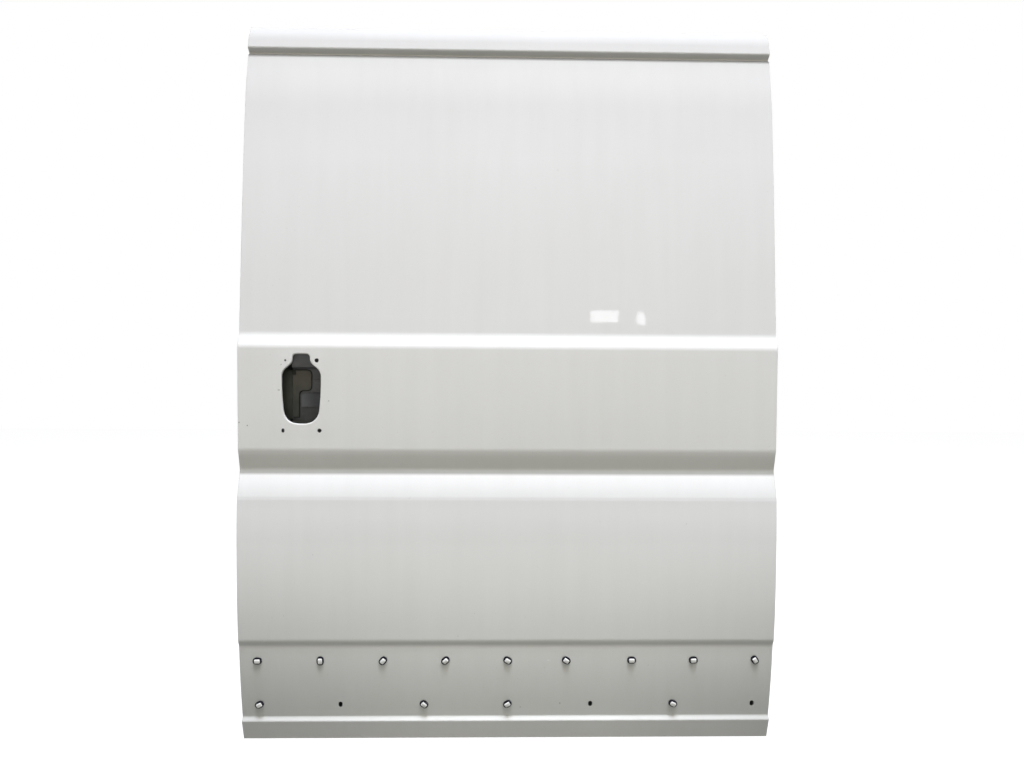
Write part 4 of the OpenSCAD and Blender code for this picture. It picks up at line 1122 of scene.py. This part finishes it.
def dress(name, mat, bevel=0.0):
    """Gives a CAD node its material, and a small bevel in mm on its sharp edges."""
    obj = nodes[name]
    obj.data.materials.clear()
    obj.data.materials.append(mat)
    if bevel:
        weld = obj.modifiers.new("weld", "WELD")
        weld.merge_threshold = 1e-5
        mod = obj.modifiers.new("bevel", "BEVEL")
        mod.width = bevel * MM
        mod.segments = 2
        mod.limit_method = "ANGLE"
        mod.angle_limit = math.radians(40)
        mod.harden_normals = True


# Nodes with a finish of their own, and the bevel of their edges
FINISHES = {
    "impact_beam": (BEAM, 0.0),
    "handle_bracket": (BRACKET, 0.0),
    "lock_pad": (PAD, 0.6),
    "lever_plate": (LEVER, 0.8),
}
for name in nodes:
    if name.startswith("mastic"):
        dress(name, MASTIC)
    elif name.startswith("inner_"):
        dress(name, INNER)
    elif not name.startswith(("clip_seals", "moulding_clip")):
        dress(name, *FINISHES.get(name, (REINF, 0.0)))

skin = make_skin().build("skin_sheet")
skin.data.materials.append(PAINT)
skin.data.materials.append(SKIN_INNER)
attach(skin, "root")
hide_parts("outer_skin")
make_clips()
make_sealer()
make_pad_shade_ring()
make_bracket_strip()
make_bracket_wing()


# Floor, light and camera

# Place and angles of the camera in the door frame, in metres and radians. CAMERA_F is in pixels
# of a picture that is PICTURE_W wide, and the sensor's width in mm.
PICTURE_W, PICTURE_H = 1024, 767
SENSOR_W = 36
CAMERA_AT = (-0.0361, -1.984, 0.938)
CAMERA_F = 790.5
CAMERA_YAW, CAMERA_DOWN, CAMERA_ROLL = 0.0215, 0.0081, 0.0055

# Floor in metres, with its own grey and the white that the camera sees
FLOOR_DROP, FLOOR_HALF = 0.28, 16.0
FLOOR_GREY, FLOOR_GLOW = 0.14, 0.97

# Light of the room, from low down to high up
ROOM_LOW, ROOM_HIGH, ROOM_FROM, ROOM_TO = 0.02, 0.03, -0.2, 0.8
ROOM_COLOUR = (0.985, 0.995, 1.0, 1)

# Lamps in front of the door, as [name, place, size, watts, colour], in the door frame in metres
LAMPS = [
    ("high", (0, -3.4, 12.4), (4, 5), 1950, (0.882, 0.915, 1.0)),
    ("side", (5.9, -4.95, 10.1), (4, 3), 270, (0.965, 1, 0.985)),
    ("near", (0, -2.2, 3.2), (3, 1.2), 27, (1, 0.893, 0.815)),
    ("low", (0, -2.5, 0.6), (3, 1), 9.7, (1, 0.985, 0.70)),
]
LAMP_AIM = (0, 0, 0.925)
REAR_PLACE, REAR_AIM, REAR_SIZE, REAR_WATTS = (0.6, 5.0, 3.4), (0, 0, 0.9), (3.5, 3), 245

# Windows far off, as [pixel column, pixel row of the reflection, width, height, watts]
WINDOWS = [(604.5, 316.5, 0.28, 0.12, 1.75), (641, 318.8, 0.08, 0.12, 0.5)]
WINDOW_FAR = 6.0
WINDOW_COLOUR = (0.96, 0.97, 1)


def seen_directly(tree):
    """1 for what the camera sees itself, or in a reflection or through glass."""
    path = tree.nodes.new("ShaderNodeLightPath")
    mirrored = math_node(
        tree, "MAXIMUM", path.outputs["Is Glossy Ray"], path.outputs["Is Transmission Ray"]
    )
    return math_node(tree, "MAXIMUM", path.outputs["Is Camera Ray"], mirrored)


def make_world():
    """A dim room that lights the door, and plain white where it is seen."""
    world = bpy.data.worlds.new("studio")
    bpy.context.scene.world = world
    world.use_nodes = True
    tree = world.node_tree
    tree.nodes.clear()
    out = tree.nodes.new("ShaderNodeOutputWorld")
    coords = tree.nodes.new("ShaderNodeTexCoord")
    split = tree.nodes.new("ShaderNodeSeparateXYZ")
    tree.links.new(coords.outputs["Generated"], split.inputs[0])
    glow = spread(tree, split.outputs["Z"], ROOM_FROM, ROOM_TO, ROOM_LOW, ROOM_HIGH)
    room = tree.nodes.new("ShaderNodeBackground")
    room.inputs["Color"].default_value = ROOM_COLOUR
    tree.links.new(glow, room.inputs["Strength"])
    white = tree.nodes.new("ShaderNodeBackground")
    white.inputs["Color"].default_value = (1, 1, 1, 1)
    white.inputs["Strength"].default_value = 1.0
    mix = tree.nodes.new("ShaderNodeMixShader")
    tree.links.new(seen_directly(tree), mix.inputs["Fac"])
    tree.links.new(room.outputs[0], mix.inputs[1])
    tree.links.new(white.outputs[0], mix.inputs[2])
    tree.links.new(mix.outputs[0], out.inputs["Surface"])


def make_floor():
    """A plain floor: white to the camera, with the door's shadow on it, and darker as a source."""
    z = SKIN_LO.z - FLOOR_DROP
    me = bpy.data.meshes.new("floor")
    s = FLOOR_HALF
    me.from_pydata([(-s, -s, z), (s, -s, z), (s, s, z), (-s, s, z)], [], [(0, 1, 2, 3)])
    floor = bpy.data.objects.new("floor", me)
    bpy.context.scene.collection.objects.link(floor)
    mat, tree, shader = node_tree("floor")
    shader.inputs["Base Color"].default_value = (FLOOR_GREY, FLOOR_GREY, FLOOR_GREY, 1)
    shader.inputs["Roughness"].default_value = 0.9
    shader.inputs["Specular IOR Level"].default_value = 0.0
    glow = tree.nodes.new("ShaderNodeEmission")
    glow.inputs["Strength"].default_value = FLOOR_GLOW
    lit = tree.nodes.new("ShaderNodeAddShader")
    tree.links.new(shader.outputs[0], lit.inputs[0])
    tree.links.new(glow.outputs[0], lit.inputs[1])
    mix = tree.nodes.new("ShaderNodeMixShader")
    tree.links.new(seen_directly(tree), mix.inputs["Fac"])
    tree.links.new(shader.outputs[0], mix.inputs[1])
    tree.links.new(lit.outputs[0], mix.inputs[2])
    tree.links.new(mix.outputs[0], tree.nodes["Material Output"].inputs["Surface"])
    me.materials.append(mat)


def area_light(name, place, target, size, power, colour=(1, 1, 1)):
    """An area light, placed and aimed in the door frame, in metres."""
    data = bpy.data.lights.new(name, "AREA")
    data.shape = "RECTANGLE"
    data.size, data.size_y = size
    data.energy = power
    data.color = colour
    obj = bpy.data.objects.new(name, data)
    obj.location = Vector(place) - ORIGIN
    aim = Vector(target) - Vector(place)
    obj.rotation_euler = aim.to_track_quat("-Z", "Y").to_euler()
    bpy.context.scene.collection.objects.link(obj)
    return obj


def make_camera():
    """The photograph's camera: at belt height, a little left of the middle, near the door."""
    data = bpy.data.cameras.new("camera")
    data.sensor_width = SENSOR_W
    data.lens = SENSOR_W * CAMERA_F / PICTURE_W
    cam = bpy.data.objects.new("camera", data)
    aim = (
        Matrix.Rotation(-CAMERA_YAW, 3, "Z")
        @ Matrix.Rotation(math.pi / 2 - CAMERA_DOWN, 3, "X")
        @ Matrix.Rotation(CAMERA_ROLL, 3, "Z")
    )
    cam.matrix_world = Matrix.Translation(Vector(CAMERA_AT) - ORIGIN) @ aim.to_4x4()
    bpy.context.scene.collection.objects.link(cam)
    bpy.context.scene.camera = cam
    return cam


def make_window(cam, u, v, width, height, power):
    """A small far window whose mirror image shows in the paint at pixel u, v."""
    ray = Vector((u - PICTURE_W / 2, PICTURE_H / 2 - v, -CAMERA_F)).normalized()
    ray = cam.matrix_world.to_3x3() @ ray
    eye = cam.matrix_world.translation
    hit = eye.copy()
    for _ in range(4):
        inset, normal = surface((hit.x + ORIGIN.x) / MM, (hit.z + ORIGIN.z) / MM)
        hit = eye + ray * ((inset * MM - ORIGIN.y - eye.y) / ray.y)
    away = ray - 2 * ray.dot(normal) * normal
    place = hit + away * WINDOW_FAR + ORIGIN
    area_light("window", place, hit + ORIGIN, (width, height), power, WINDOW_COLOUR)


make_world()
make_floor()
for name, place, size, power, colour in LAMPS:
    area_light(name, place, LAMP_AIM, size, power, colour).visible_glossy = False
area_light("rear_fill", REAR_PLACE, REAR_AIM, REAR_SIZE, REAR_WATTS)
camera = make_camera()
for window in WINDOWS:
    make_window(camera, *window)
bpy.context.scene.view_settings.view_transform = "Standard"
